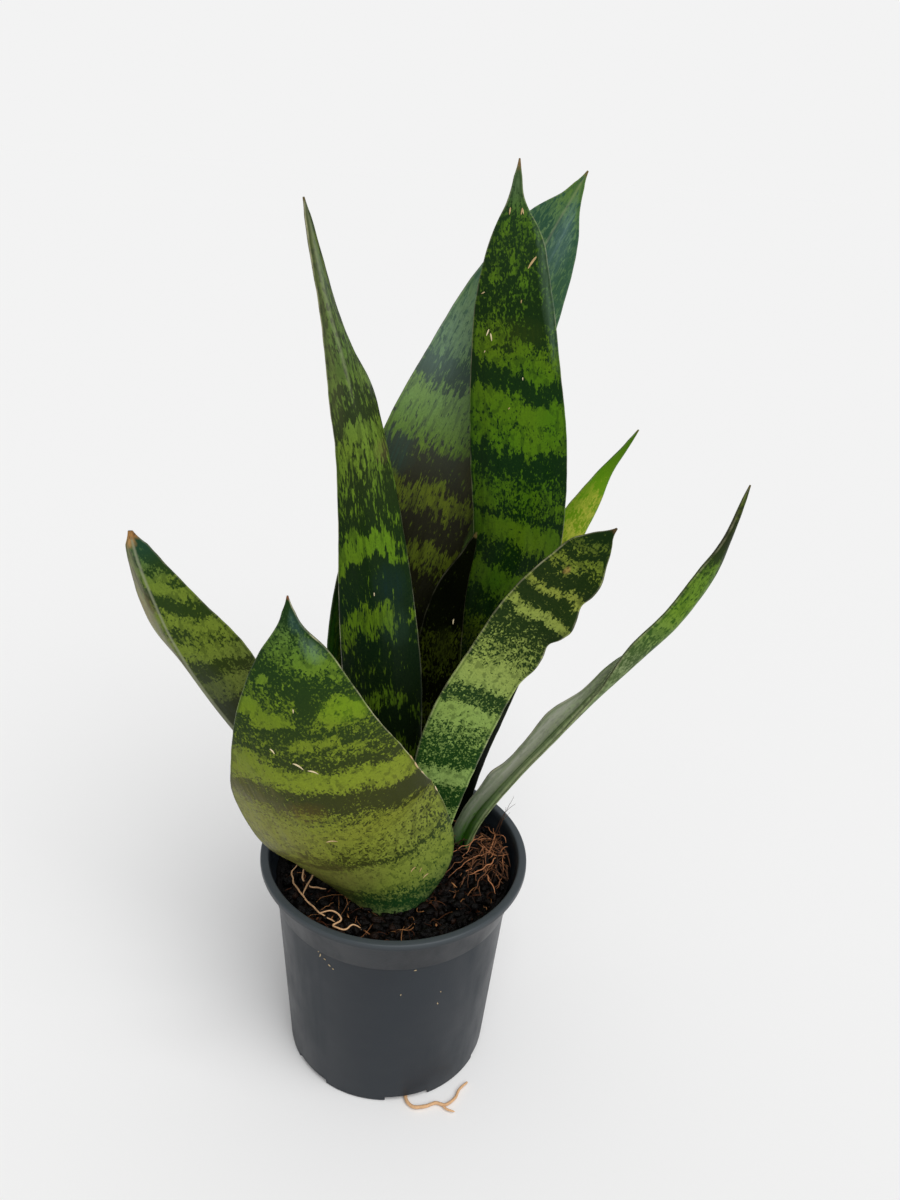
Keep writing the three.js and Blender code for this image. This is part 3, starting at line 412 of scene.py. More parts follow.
# Small dry scales that lie on the leaves: across, place along, length and turn in degrees.
SCALES = {
    "leaf_centre": [
        (-0.5, 0.946, 1.4, -12), (0.36, 0.946, 1.4, 24), (0.46, 0.948, 1.1, 6), (0.5, 0.896, 2.8, 40),
        (0.15, 0.854, 0.7, 10), (-0.83, 0.864, 0.7, 60), (-0.64, 0.824, 1.4, 20),
        (-0.56, 0.818, 1.6, -10), (0.1, 0.768, 0.6, 0), (-0.2, 0.73, 0.5, 40), (-0.7, 0.8, 0.5, 20),
    ],
    "leaf_front": [
        (-0.1, 0.445, 2.4, -80), (0.42, 0.264, 1.6, 70), (0.5, 0.252, 1.1, 40), (0.55, 0.236, 1.6, 80),
        (-0.44, 0.69, 1.6, -35), (-0.16, 0.66, 2.6, -45), (-0.02, 0.64, 2.2, -55), (-0.1, 0.778, 0.9, 0),
        (0.99, 0.575, 1.6, 0), (0.985, 0.55, 2.4, 4), (0.99, 0.52, 1.4, -6), (0.985, 0.37, 1.8, 5),
    ],
    "leaf_young": [(0.41, 0.777, 1.4, 0)],
    "leaf_tall_left": [(-0.05, 0.52, 0.8, 0)],
}

SCALE_WIDTH = (0.15, 0.09)  # the least, and what each millimetre of length adds
SCALE_THICKNESS = 0.07  # of half a scale
SCALE_CURL = 0.1  # rise of the ends, as a share of the length
SCALE_TAPER = 0.3
SCALE_GAP = 0.03  # between a scale's middle and the face it lies on

# Specks that cling to the pot: direction around it in degrees, height and length.
POT_SPECKS = [
    (236, 42.7, 1.1), (238.5, 42.2, 0.6), (241, 41, 0.7), (243, 40.4, 0.5), (235, 43.5, 0.5),
    (282, 43.2, 0.6), (276, 36, 0.45), (295, 31, 0.6), (296, 34.5, 0.35),
]

# ---------------------------------------------------------------- pot, soil and roots

POT_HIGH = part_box("pot")[1]
RIM_RADIUS = POT_HIGH.x / MM
POT_HEIGHT = POT_HIGH.z / MM
FOOT_RADIUS = 23.5
FOOT_WIDTH = 1.7
FOOT_DEPTH = 1.6
FLOOR_THICKNESS = 1.3
WALL = 1.0
COLLAR_BOTTOM = 44.0
COLLAR_RADIUS = 26.3
COLLAR_STEP = 0.5
COLLAR_STEP_CURVE = ((0.12, 0.03), (0.4, 0.14), (COLLAR_STEP, 0.3))  # outwards and up from the wall
COLLAR_LIFT = 0.6  # the collar's step lies this much higher inside than outside
COLLAR_TOP_RADIUS = 28.7
RIM_HEIGHT = 1.5
LIP_BOTTOM = POT_HEIGHT - RIM_HEIGHT
INNER_ROUND = 0.5
CROWN_ROUND = 0.42  # round of the rim's top at its outside
LIP_ROUND = (0.2, 0.25)  # round of the rim's lower edge, outwards and up
RIM_LEAN = 0.03  # the rim is this much narrower at its top
FOOT_BEVEL = 0.35
EDGE_BREAK = 0.1
FLOOR_CORNER = 0.4  # the floor's top is this much narrower than the wall's inside
CENTRE_PAD_RADIUS = 5.0
DRAIN_COUNT = 6
DRAIN_FIRST_ANGLE = -77.0
DRAIN_RADIUS = 2.6
DRAIN_CIRCLE = 18.6
DRAIN_SIDES = 32
DRAIN_CUT = (-0.5, 4.0)  # heights between which a hole is cut
NOTCH_WIDTH = 10.0
NOTCH_HEIGHT = 1.4
NOTCH_CUT = FOOT_WIDTH + 1.0  # half the length of a block that cuts a notch
CRISP_EDGE = 32  # degrees; sharper edges of the pot stay crisp

SOIL_LEVEL = 49.0
SOIL_GAP = 0.3  # between the peat and the pot
SOIL_SLOPE = (0.035, 0.015)  # rise of the peat in a millimetre to the right and to the back
BED_GAP = 0.35  # between the bed's top edge and the pot
BED_SINK = 0.25  # how deep the bed lies below the crumbs that cover it
BED_LUMPS = ((0.5, 0.7, 2), (0.35, 1.9, 5))  # height, how many in a millimetre, layer of the noise
BED_RINGS = 64
BED_SIDES = 150
CRUMB_SIZES = (0.2, 1.15)  # radius of the smallest crumb, and what the largest has more
CRUMB_RARITY = 3.6  # the higher, the fewer large crumbs
ROUNDER_CRUMB = 0.62  # crumbs above this size are made with more faces

TRUNK_RADIUS = 4.0
BRANCH_RADIUS = 3.5
BURIED_ROOT_RADIUS = 0.65
DRAIN_ROOT_RADIUS = 0.4
FORK_RADIUS = 0.26
CURLY_ROOT_RADIUS = 0.2
COIR_RADIUS = 0.16
HAIR_RADIUS = 0.05
THREAD_RADII = (0.03, 0.08)
LOOSE_COIR_RADII = (0.05, 0.13)

TRUNK_LEVEL = LEAF_FOOT - TRUNK_RADIUS - 0.5
# The rhizome's trunk and branches as x, y and height above TRUNK_LEVEL.
TRUNK = [(1, -12, 0), (2.5, -3, 0), (3, 5, 0), (-1, 12.5, 0), (-2, 18.4, 0)]
BRANCHES = [
    [(3, 4.6, 0), (-2, 5, 0.5), (-6.5, 4, 0.5)],
    [(2.9, 5.2, 0), (8, 6, 0.5), (14.8, 8, 0.5)],
    [(2.4, 6.2, 0), (7, 11.5, 0.5), (11, 14.4, 0.5)],
]
BURIED_ROOTS = [
    [(-5, 4, 25), (-10, 2, 21), (-14, -3, 15), (-15, -8, 9)],
    [(-2, 18, 25), (-6, 19, 19), (-9, 16, 12), (-8, 12, 7)],
    [(12, 14, 25), (14.5, 12, 18), (14, 8, 12), (16, 3, 7)],
    [(2, -3, 25), (-3, -7, 18), (-4, -12, 11), (-9, -15, 6)],
]

ROOT_LEVEL = 0.65  # height of the middle of the root that lies beside the foot
DRAIN_ROOT = [
    (1.5, -10.5, 25), (3, -13.5, 17), (4.4, -16.5, 9), (4.25, -17.9, 4.5), (4.35, -18.6, 2.4),
    (4.6, -19.8, 1), (4.9, -21.4, ROOT_LEVEL), (5.2, -23.4, ROOT_LEVEL), (6.6, -25.2, ROOT_LEVEL),
    (9.4, -25.2, ROOT_LEVEL), (12, -24.2, ROOT_LEVEL), (14, -24.6, ROOT_LEVEL),
    (16.4, -22.8, ROOT_LEVEL), (17.6, -20.4, ROOT_LEVEL), (19.4, -18.6, ROOT_LEVEL),
]
DRAIN_ROOT_FORK = [(13.4, -24.5, ROOT_LEVEL), (14.8, -25.9, ROOT_LEVEL), (16.2, -26.3, ROOT_LEVEL)]

# Fibres that lie on the soil: x, y and how far the fibre's middle stands above the soil.
CURLY_ROOTS = [
    [(-21.4, -1.6, 0.6), (-22.6, -5, 0.9), (-21.6, -8.4, 1.1), (-19.4, -12, 1), (-16.6, -15.4, 0.7),
     (-14.8, -18, 0.6), (-12, -18.6, 0.4)],
    [(-21.4, -1.8, 0.6), (-18.6, -2.8, 1.2), (-17.6, -6.4, 1.4), (-19, -9.6, 1.2), (-19.5, -12, 0.9)],
    [(-19.8, -2.4, 0.8), (-20.2, -6, 0.5), (-17.8, -8.8, 0.5), (-14.6, -9.4, 0.3)],
    [(-15.4, -17.4, 0.6), (-12.4, -16.4, 0.8), (-10.6, -18.2, 1.1), (-12.2, -20.4, 0.8), (-9.6, -21.6, 0.6),
     (-7.6, -20.2, 0.6), (-6.2, -21.2, 0.3)],
]
COIR_FIBRES = [
    [(25, 8.4, 1.2), (23.4, 7, 1.4), (20.6, 3.6, 1.3), (18, -0.4, 1), (18.6, -5.4, 0.8), (19.4, -10.4, 0.5)],
    [(23.4, 11.4, 1.2), (23.4, 8, 2), (22.2, 3.4, 1.6), (20.8, -1.4, 0.8), (22.4, -6.4, 0.5)],
    [(17.8, 12, 0.8), (20.6, 8.8, 1.6), (23.2, 6.4, 2.1), (25.8, 3.4, 1.4), (26.6, -1.2, 0.8)],
    [(19, 6.6, 0.8), (21, 3.2, 1.8), (24, 1.6, 1.5), (26.4, 2.4, 1)],
    [(16.2, 0.4, 0.5), (18.4, 0.2, 0.9), (21, 0.6, 1.1), (24.4, -1.4, 0.8), (26, -4.6, 0.5)],
    [(12.4, -12.6, 0.4), (14.6, -8.8, 0.7), (16.6, -3.8, 0.8), (18.2, -0.8, 1)],
]
# Thin hairs of the tuft that reach above the rim: x, y and z.
STRAY_HAIRS = [
    [(23.2, 6.5, 51), (24.3, 7.5, 54.5), (25.6, 9, 58), (27.4, 10.6, 61.5)],
    [(24.2, 8.5, 51.5), (24.8, 9, 54.5), (25.4, 9.2, 57), (25.6, 9, 59.5)],
    [(23.5, 9, 51), (24.5, 10.2, 54), (26.2, 11.5, 56.5), (28.3, 12.4, 58)],
    [(22.5, 6, 51), (23.2, 6.8, 53), (24.6, 8.4, 55.5), (26.8, 10, 57.2)],
]

CURLY_LIFT = 1.0  # how much higher the curly roots lie than CURLY_ROOTS says
TUFT_MIDDLE = (22.5, 5.5)  # where the loose fibres of the tuft start, and how far they spread from it
TUFT_SPREAD = (2.6, 4.4)
TUFT_HEADINGS = (-1.9, -1.9, -2.5, -1.2, 0.4)  # radians
TUFT_POINTS = 8

# Each kind of root or fibre: sides, distance between its points, share of the thickness that is
# left at its ends, and how far it sways.
TUBE_FORMS = {
    "trunk": (16, 1.0, 0.8, 0.2),
    "buried root": (8, 0.6, 0.35, 0.3),
    "drain root": (10, 0.3, 0.6, 0.12),
    "root fork": (8, 0.25, 0.5, 0.1),
    "curly root": (8, 0.25, 0.5, 0.35),
    "coir": (7, 0.4, 0.4, 0.3),
    "hair": (6, 0.5, 0.5, 0.2),
    "loose coir": (6, 0.5, 0.4, 0.5),
    "thread": (5, 0.6, 0.4, 0.2),
}
SWAY_GRAIN = 0.5  # how often a root sways in a millimetre
SWELL = 0.12  # how much its thickness changes
SWELL_GRAIN = 1.4  # and how often in a millimetre

# ---------------------------------------------------------------- camera and light

FRAME_HEIGHT = 1200  # pixels
FOCAL_PIXELS = 1000
SENSOR = 36.0
CAMERA_PLACE = (0.0, -0.1795, 0.2042)
CAMERA_TURN = ((0.998, -0.0445, -0.0443), (-0.0203, 0.4385, -0.8985), (0.0594, 0.8976, 0.4367))
KEY_FROM = (0.3, -0.5, 0.81)  # the key light comes from here, above, in front and a little right
KEY_SPREAD = 50.0  # degrees that the key light spreads over
NEAREST_SEEN = 0.01
FLOOR_RADIUS = 4000.0
FLOOR_SIDES = 64
FLOOR_TOP = -0.02
FLOOR_BOTTOM = -0.5


# ---------------------------------------------------------------- settings a user can change


class LeafSettings(PropertyGroup):
    steps: IntProperty(
        name="Steps along", description="Cross sections along each blade", default=170, min=20
    )
    across: IntProperty(name="Points across", description="Points across each face", default=25, min=7)
    margin: FloatProperty(
        name="Margin thickness", description="Thickness of a blade at its margin", default=0.8 * MM,
        precision=5, unit="LENGTH",
    )
    waviness: FloatProperty(
        name="Waviness", description="Small unevenness of a blade's faces", default=0.12 * MM,
        precision=5, unit="LENGTH",
    )
    roughness: FloatProperty(
        name="Roughness", description="Roughness of the waxy skin", default=0.38, min=0, max=1,
        subtype="FACTOR",
    )
    margin_colour: FloatVectorProperty(
        name="Margin colour", description="Colour of the dry rim of a blade", default=(0.5, 0.48, 0.3),
        min=0, max=1, subtype="COLOR",
    )


class PotSettings(PropertyGroup):
    sides: IntProperty(name="Sides", description="Faces around the pot", default=180, min=24)
    colour: FloatVectorProperty(
        name="Colour", description="Colour of the moulded plastic", default=(0.009, 0.0135, 0.0195),
        min=0, max=1, subtype="COLOR",
    )
    roughness: FloatProperty(
        name="Roughness", description="Roughness of the plastic", default=0.38, min=0, max=1,
        subtype="FACTOR",
    )


class SoilSettings(PropertyGroup):
    crumbs: IntProperty(name="Crumbs", description="Number of loose crumbs of peat", default=4200, min=0)
    slivers: IntProperty(name="Slivers", description="Number of bark slivers", default=120, min=0)
    threads: IntProperty(
        name="Threads", description="Number of fine fibres over the peat", default=170, min=0
    )
    colour: FloatVectorProperty(
        name="Colour", description="Colour of the moist peat", default=(0.027, 0.011, 0.0055),
        min=0, max=1, subtype="COLOR",
    )
    seed: IntProperty(name="Seed", description="Start of the random draws", default=11)


class RootSettings(PropertyGroup):
    root_colour: FloatVectorProperty(
        name="Root colour", description="Colour of the dry roots", default=(0.56, 0.34, 0.18),
        min=0, max=1, subtype="COLOR",
    )
    coir_colour: FloatVectorProperty(
        name="Coir colour", description="Colour of the coarse fibres", default=(0.25, 0.105, 0.046),
        min=0, max=1, subtype="COLOR",
    )
    coir_count: IntProperty(
        name="Coir fibres", description="Number of loose fibres in the tuft", default=110, min=0
    )


class StageSettings(PropertyGroup):
    floor_colour: FloatVectorProperty(
        name="Floor colour", description="Colour of the plain floor", default=(0.86, 0.86, 0.86),
        min=0, max=1, subtype="COLOR",
    )
    sky: FloatProperty(name="Sky", description="Strength of the even light", default=0.5, min=0)
    key: FloatProperty(
        name="Key light", description="Strength of the soft light from above", default=2.1, min=0
    )


# ---------------------------------------------------------------- curves and meshes


def hermite(places, rows, at):
    """A smooth curve through rows of values at the given places, read at many places."""
    rows = np.asarray(rows, float)
    slope = (rows[1:] - rows[:-1]) / np.diff(places)[:, None]
    before = np.diff(places)[:-1, None]
    after = np.diff(places)[1:, None]
    middle = (slope[:-1] * after + slope[1:] * before) / (before + after)
    tangent = np.concatenate([slope[:1], middle, slope[-1:]])
    k = np.clip(np.searchsorted(places, at, side="right") - 1, 0, len(places) - 2)
    span = (places[k + 1] - places[k])[:, None]
    u = np.clip((at - places[k])[:, None] / span, 0, 1)
    return (
        rows[k] * (2 * u**3 - 3 * u**2 + 1)
        + tangent[k] * span * (u**3 - 2 * u**2 + u)
        + rows[k + 1] * (3 * u**2 - 2 * u**3)
        + tangent[k + 1] * span * (u**3 - u**2)
    )


def chord_places(points):
    """Each point's place along the line through them, 0 at the first and 1 at the last."""
    lengths = np.linalg.norm(np.diff(points, axis=0), axis=1)
    places = np.concatenate([[0], np.cumsum(lengths)])
    return places / places[-1], places[-1]


def unit(vectors):
    return vectors / np.linalg.norm(vectors, axis=-1, keepdims=True)


def smooth_noise(x, y, z):
    return noise.noise(Vector((x, y, z)))


def circle(radius, z, sides, shift=0.0):
    """Points of a level ring around the pot's axis, turned on by a share of a side."""
    turns = [2 * math.pi * (k + shift) / sides for k in range(sides)]
    return [(radius * math.cos(turn), radius * math.sin(turn), z) for turn in turns]


def arc(radius, z, wide, high, *angles):
    """Points of an elliptical arc in a turned profile."""
    turns = [math.radians(angle) for angle in angles]
    return [(radius + wide * math.cos(turn), z + high * math.sin(turn)) for turn in turns]


def ring_faces(rings, sides):
    """Faces between rings of points that follow one another."""
    return [
        (k, low + n, low + sides + n, k + sides)
        for low in range(0, (rings - 1) * sides, sides)
        for k, n in zip(range(low, low + sides), [*range(1, sides), 0])
    ]


def tip_faces(tip, first, sides, outward):
    """Triangles from the ring that starts at first to a tip."""
    pairs = [(first + k, first + (k + 1) % sides) for k in range(sides)]
    return [(tip, *(pair if outward else pair[::-1])) for pair in pairs]


def pointed_faces(rings, sides):
    """Faces of a closed stack of rings, whose first and last tip follow after the rings."""
    low, high = rings * sides, rings * sides + 1
    tips = tip_faces(low, 0, sides, False) + tip_faces(high, low - sides, sides, True)
    return ring_faces(rings, sides) + tips


def blunt_faces(rings, sides):
    """Faces of a stack of rings, closed by a flat face at each end."""
    last = (rings - 1) * sides
    ends = [tuple(reversed(range(sides))), tuple(range(last, last + sides))]
    return ring_faces(rings, sides) + ends


def tube(route, radius, form, seed):
    """Points and faces of a root or fibre along a route, thinner at its ends, which are pointed."""
    sides, pitch, taper, sway = TUBE_FORMS[form]
    route = np.asarray(route, float)
    places, length = chord_places(route)
    count = max(5, int(length / pitch))
    at = np.linspace(0, 1, count)
    drift = [[smooth_noise(length * t * SWAY_GRAIN + seed, c * 7.3, seed) for c in range(3)] for t in at]
    fade = np.minimum(1, np.minimum(at, 1 - at) * 6 + 0.2)[:, None]
    middle = hermite(places, route, at) + sway * np.asarray(drift) * fade
    along = unit(np.gradient(middle, axis=0))
    side = np.cross(along[0], (0.31, 0.22, 0.93))
    ends = 1 - (1 - taper) * np.abs(2 * at - 1) ** 3
    points = []
    for k in range(count):
        side = side - along[k] * side.dot(along[k])
        side = side / np.linalg.norm(side)
        up = np.cross(along[k], side)
        swell = 1 + SWELL * smooth_noise(length * at[k] * SWELL_GRAIN, seed, 3.1)
        for c, s, _ in circle(1.0, 0, sides):
            points.append(middle[k] + radius * ends[k] * swell * (c * side + s * up))
    points.append(middle[0] - along[0] * radius * taper)
    points.append(middle[-1] + along[-1] * radius * taper)
    return points, pointed_faces(count, sides)


def ball(level):
    bm = bmesh.new()
    bmesh.ops.create_icosphere(bm, subdivisions=level, radius=1.0)
    points = np.array([vertex.co[:] for vertex in bm.verts])
    faces = [tuple(vertex.index for vertex in face.verts) for face in bm.faces]
    bm.free()
    return points, faces


def add_mesh(name, points, faces, smooth=True):
    """A new mesh object from points in millimetres."""
    mesh = bpy.data.meshes.new(name)
    mesh.from_pydata((np.asarray(points, float) * MM).tolist(), [], faces)
    mesh.polygons.foreach_set("use_smooth", [smooth] * len(mesh.polygons))
    mesh.update()
    piece = bpy.data.objects.new(name, mesh)
    bpy.context.scene.collection.objects.link(piece)
    return piece


def turned(name, profile, sides, smooth=True):
    """A closed shape turned around Z from a profile that starts and ends on the axis."""
    points = [point for radius, z in profile[1:-1] for point in circle(radius, z, sides)]
    points += [(0, 0, profile[0][1]), (0, 0, profile[-1][1])]
    return add_mesh(name, points, pointed_faces(len(profile) - 2, sides), smooth)


def add_values(piece, name, values):
    """Stores one number or one vector for each corner point of the mesh."""
    values = np.asarray(values, np.float32)
    kind, field = ("FLOAT_VECTOR", "vector") if values.ndim == 2 else ("FLOAT", "value")
    piece.data.attributes.new(name, kind, "POINT").data.foreach_set(field, values.ravel())


def dress(piece, material, slot, *nodes):
    """Gives a finished piece its material and its body, and hides the solids it stands for. The slot is not
    used.
    """
    piece.data.materials.clear()
    piece.data.materials.append(material)
    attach(piece, BODY)
    if nodes:
        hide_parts(*nodes)
    return piece


class Bundle:
    """Collects many small closed shapes into one mesh, with a tone for each."""

    def __init__(self):
        self.points = []
        self.faces = []
        self.tones = []
        self.count = 0

    def add(self, points, faces, tone):
        self.points.append(np.asarray(points, float))
        self.faces.extend([tuple(k + self.count for k in face) for face in faces])
        self.tones.append(np.full(len(points), tone))
        self.count += len(points)

    def add_tube(self, route, radius, form, seed, tone):
        self.add(*tube(route, radius, form, seed), tone)

    def mesh(self, name):
        piece = add_mesh(name, np.concatenate(self.points), self.faces)
        add_values(piece, "tone", np.concatenate(self.tones))
        return piece


# ---------------------------------------------------------------- finishes


def rgba(colour):
    """Scene-linear colour from a six-digit screen colour or from linear red, green and blue."""
    if isinstance(colour, str):
        parts = [int(colour[k:k + 2], 16) / 255 for k in (0, 2, 4)]
        colour = [c / 12.92 if c <= 0.04045 else ((c + 0.055) / 1.055) ** 2.4 for c in parts]
    return (*colour[:3], 1.0)


def tones(colour, shares):
    """Stops of one colour from dark to light: each is a place and a share of the colour."""
    return [(place, [min(1.0, part * share) for part in colour]) for place, share in shares]


class Finish:
    """Builds one material's nodes. Each method returns the output that it makes."""

    def __init__(self, name):
        self.material = bpy.data.materials.new(name)
        self.material.use_nodes = True
        self.tree = self.material.node_tree
        self.shader = self.tree.nodes["Principled BSDF"].inputs

    def put(self, socket, value):
        """Links an output to a socket, or sets the socket's own number or colour."""
        if isinstance(value, NodeSocket):
            self.tree.links.new(value, socket)
        else:
            socket.default_value = rgba(value) if socket.type == "RGBA" else value

    def node(self, kind, sockets, **options):
        """A new node with its options set and its sockets filled, by place or by name."""
        node = self.tree.nodes.new("ShaderNode" + kind)
        for option, choice in options.items():
            setattr(node, option, choice)
        for socket, value in sockets.items():
            self.put(node.inputs[socket], value)
        return node

    def math(self, operation, *values, clamp=False):
        return self.node("Math", dict(enumerate(values)), operation=operation, use_clamp=clamp).outputs[0]

    def times(self, value, factor, plus=None, clamp=False):
        """value * factor, and plus where it is given."""
        if plus is None:
            return self.math("MULTIPLY", value, factor, clamp=clamp)
        return self.math("MULTIPLY_ADD", value, factor, plus, clamp=clamp)

    def attribute(self, name, kind):
        return self.node("Attribute", {}, attribute_name=name).outputs[kind]

    def split(self, vector):
        return self.node("SeparateXYZ", {0: vector}).outputs

    def stretch(self, vector, scale):
        return self.node("VectorMath", {0: vector, 1: scale}, operation="MULTIPLY").outputs[0]

    def coordinates(self):
        """The point's place in the object, in millimetres."""
        return self.stretch(self.node("TexCoord", {}).outputs["Object"], (1 / MM, 1 / MM, 1 / MM))

    def noise(self, vector, scale, detail=2.0, roughness=0.5):
        """Noise that is brought to fill 0 to 1. scale is how many grains go in a millimetre."""
        sockets = dict(Vector=self.stretch(vector, scale), Scale=1.0, Detail=detail, Roughness=roughness)
        return self.span(self.node("TexNoise", sockets).outputs["Fac"], 0.25, 0.75)

    def span(self, value, low, high, to_low=0.0, to_high=1.0):
        """Brings a value from one range to another, and keeps it there."""
        sockets = dict(enumerate((value, low, high, to_low, to_high)))
        return self.node("MapRange", sockets, clamp=True).outputs[0]

    def ramp(self, factor, stops):
        """A colour that changes along stops of (place, colour)."""
        node = self.node("ValToRGB", {0: factor})
        elements = node.color_ramp.elements
        while len(elements) < len(stops):
            elements.new(1.0)
        for element, (place, colour) in zip(elements, stops):
            element.position = place
            element.color = rgba(colour)
        return node.outputs[0]

    def curve(self, value, stops):
        """A number that changes along stops of (place, number), with any count of stops."""
        node = self.node("FloatCurve", {"Value": value})
        points = node.mapping.curves[0].points
        points[0].location = stops[0]
        points[1].location = stops[-1]
        for stop in stops[1:-1]:
            points.new(*stop)
        for point in points:
            point.handle_type = "VECTOR"
        node.mapping.update()
        return node.outputs[0]

    def mix(self, factor, first, second):
        return self.node("Mix", {0: factor, 6: first, 7: second}, data_type="RGBA").outputs[2]

    def bump(self, height, depth, normal=None):
        """depth is the height of a full rise, in millimetres."""
        sockets = dict(Strength=1.0, Distance=depth * MM, Height=height)
        if normal is not None:
            sockets["Normal"] = normal
        return self.node("Bump", sockets).outputs[0]

    def close(self, colour, roughness, normal, specular):
        self.put(self.shader["Base Color"], colour)
        self.put(self.shader["Roughness"], roughness)
        self.put(self.shader["Normal"], normal)
        self.shader["Specular IOR Level"].default_value = specular
        return self.material


class LeafSkin(Finish):
    """One leaf's waxy skin: the fields that its layers share, and the layers."""

    def __init__(self, name, look):
        super().__init__(name)
        self.look = look
        self.across, self.along, self.edge = self.split(self.attribute("place", "Vector"))
        self.side_mm, along_mm, self.face = self.split(self.attribute("skin", "Vector"))
        layer = self.times(self.face, 7.0, 31.0 * look["seed"])
        self.spot = self.node("CombineXYZ", {0: self.side_mm, 1: along_mm, 2: layer}).outputs[0]
        self.blotch = self.noise(self.spot, BLOTCH_GRAIN)
        self.speckle = self.mottling(SPECKLE_GRAINS, 4.0)
        self.lace = self.mottling(LACE_GRAINS, 3.0)
        self.veins = self.noise(self.spot, VEIN_GRAIN, 3.0)
        self.fine = self.noise(self.spot, FINE_GRAIN, 3.0, 0.65)
        self.density = self.band_density()
        self.dark = self.dark_share()

    def mottling(self, grains, detail):
        """A noise between round grains and long streaks, as the leaf has them."""
        streak = self.look["streak"]
        scale = [(1 - streak) * spotted + streak * streaked for spotted, streaked in zip(*grains)]
        return self.noise(self.spot, scale, detail, 0.6)

    def patch(self, uneven, across_at, along_at, wide, long, strength):
        """How strongly an oval patch shows at a point: the strength at its middle, 0 outside it."""
        u = self.times(self.across, 1 / wide, -across_at / wide)
        v = self.times(self.along, 1 / long, -along_at / long)
        far = self.times(u, u, self.times(v, v))
        return self.span(self.math("ADD", uneven, far), -0.1, 1.5, strength, 0.0)

    def band_density(self):
        """The share of dark at a point, from its place pushed up and down by flames and teeth."""
        look = self.look
        flames = self.math("SUBTRACT", self.noise(self.spot, FLAME_GRAIN), 0.5)
        teeth = self.math("SUBTRACT", self.noise(self.spot, TOOTH_GRAIN), 0.5)
        place = self.times(self.across, look["slant"], self.along)
        place = self.times(self.times(self.across, self.across), look["bow"], place)
        place = self.times(flames, FLAME_PUSH, place)
        place = self.times(teeth, TOOTH_PUSH + STREAK_PUSH * look["streak"], place)
        density = self.curve(place, look["bands"])
        uneven = self.times(self.blotch, 4.0, -2.0)
        for island in look["islands"]:
            density = self.math("ADD", density, self.patch(uneven, *island))
        return density

    def dark_share(self):
        """Dark where the band's share is above the grain, so both tones keep islands."""
        speckle_share, lace_share, blotch_share = GRAIN_SHARES
        grain = self.times(self.lace, lace_share, self.times(self.speckle, speckle_share))
        grain = self.times(self.blotch, blotch_share, grain)
        level = self.times(self.density, BAND_CONTRAST, 0.5 - BAND_CONTRAST / 2)
        return self.times(self.math("SUBTRACT", level, grain), SPECKLE_SHARPNESS, 0.5, clamp=True)

    def two_tones(self):
        """The light and the dark colour of the skin, each a little uneven. Their low stops hold painted
        shade, which a blade's back skips by reading them from no lower than BACK_TONE.
        """
        place = self.math("MAXIMUM", self.along, self.times(self.face, -BACK_TONE))
        light = self.ramp(place, self.look["light"])
        clouds = self.noise(self.spot, CLOUD_GRAIN)
        light = self.mix(self.times(clouds, 0.5), light, self.mix(0.35, light, SUNNY_GREEN))
        light = self.mix(self.times(self.veins, 0.15), light, SHADY_GREEN)
        light = self.mix(self.times(self.fine, 0.34), light, SHADY_GREEN)
        dark = self.mix(self.times(self.fine, 0.08), self.ramp(place, self.look["dark"]), light)
        halfway = self.times(self.density, 0.35, self.mottling(HALFWAY_GRAINS, 4.0))
        return self.mix(self.span(halfway, 0.62, 0.74, 0.0, 0.42), light, dark), dark

    def add_washes(self, colour):
        """Soft patches of another colour, thinner along the veins, on the front only: the leaf's own tints,
        and painted sheen, painted reflection, painted shade and painted light showing through, as each
        leaf's list notes.
        """
        ragged = self.times(self.lace, 1.2, -0.6)
        thin = self.times(self.veins, 0.5, self.times(self.lace, 0.5))
        thin = self.times(self.span(thin, 0.4, 0.6, 0.55, 1.1), self.span(self.face, -0.2, 0.2))
        for *oval, tint, strength in self.look["washes"]:
            share = self.times(self.patch(ragged, *oval, strength), thin, clamp=True)
            colour = self.mix(share, colour, tint)
        return colour

    def add_keel_line(self, colour, strength, start):
        """A pale line on the fold."""
        line = self.span(self.math("ABSOLUTE", self.side_mm), 0.05, 0.35, strength, 0.0)
        line = self.times(line, self.span(self.along, start, start + 0.05))
        return self.mix(line, colour, KEEL_GREY)

    def add_rim(self, colour, dark_colour, rim_colour):
        """A thin dark line inside the margin, and the pale dry rim, broken here and there."""
        lining = self.times(self.span(self.edge, 0.1, 0.3), self.span(self.edge, 0.4, 0.8, 1.0, 0.0))
        colour = self.mix(self.times(lining, 0.5), colour, dark_colour)
        broken = self.span(self.noise(self.spot, RIM_GRAIN, 3.0), 0.3, 0.8, 0.15, 1.0)
        rim = self.times(self.span(self.edge, 0.04, 0.2, 1.0, 0.0), broken)
        rim = self.times(rim, self.span(self.across, -0.2, 0.2, *self.look["rim"]))
        return self.mix(rim, colour, rim_colour)

    def add_dry_tip(self, colour, start, tip_colour):
        """The dry tip, with a frayed edge."""
        frayed = self.times(self.math("SUBTRACT", self.speckle, 0.5), 0.008, self.along)
        tip = self.span(frayed, start, start + 0.006)
        return self.mix(tip, colour, self.mix(self.speckle, tip_colour, TIP_BROWN))


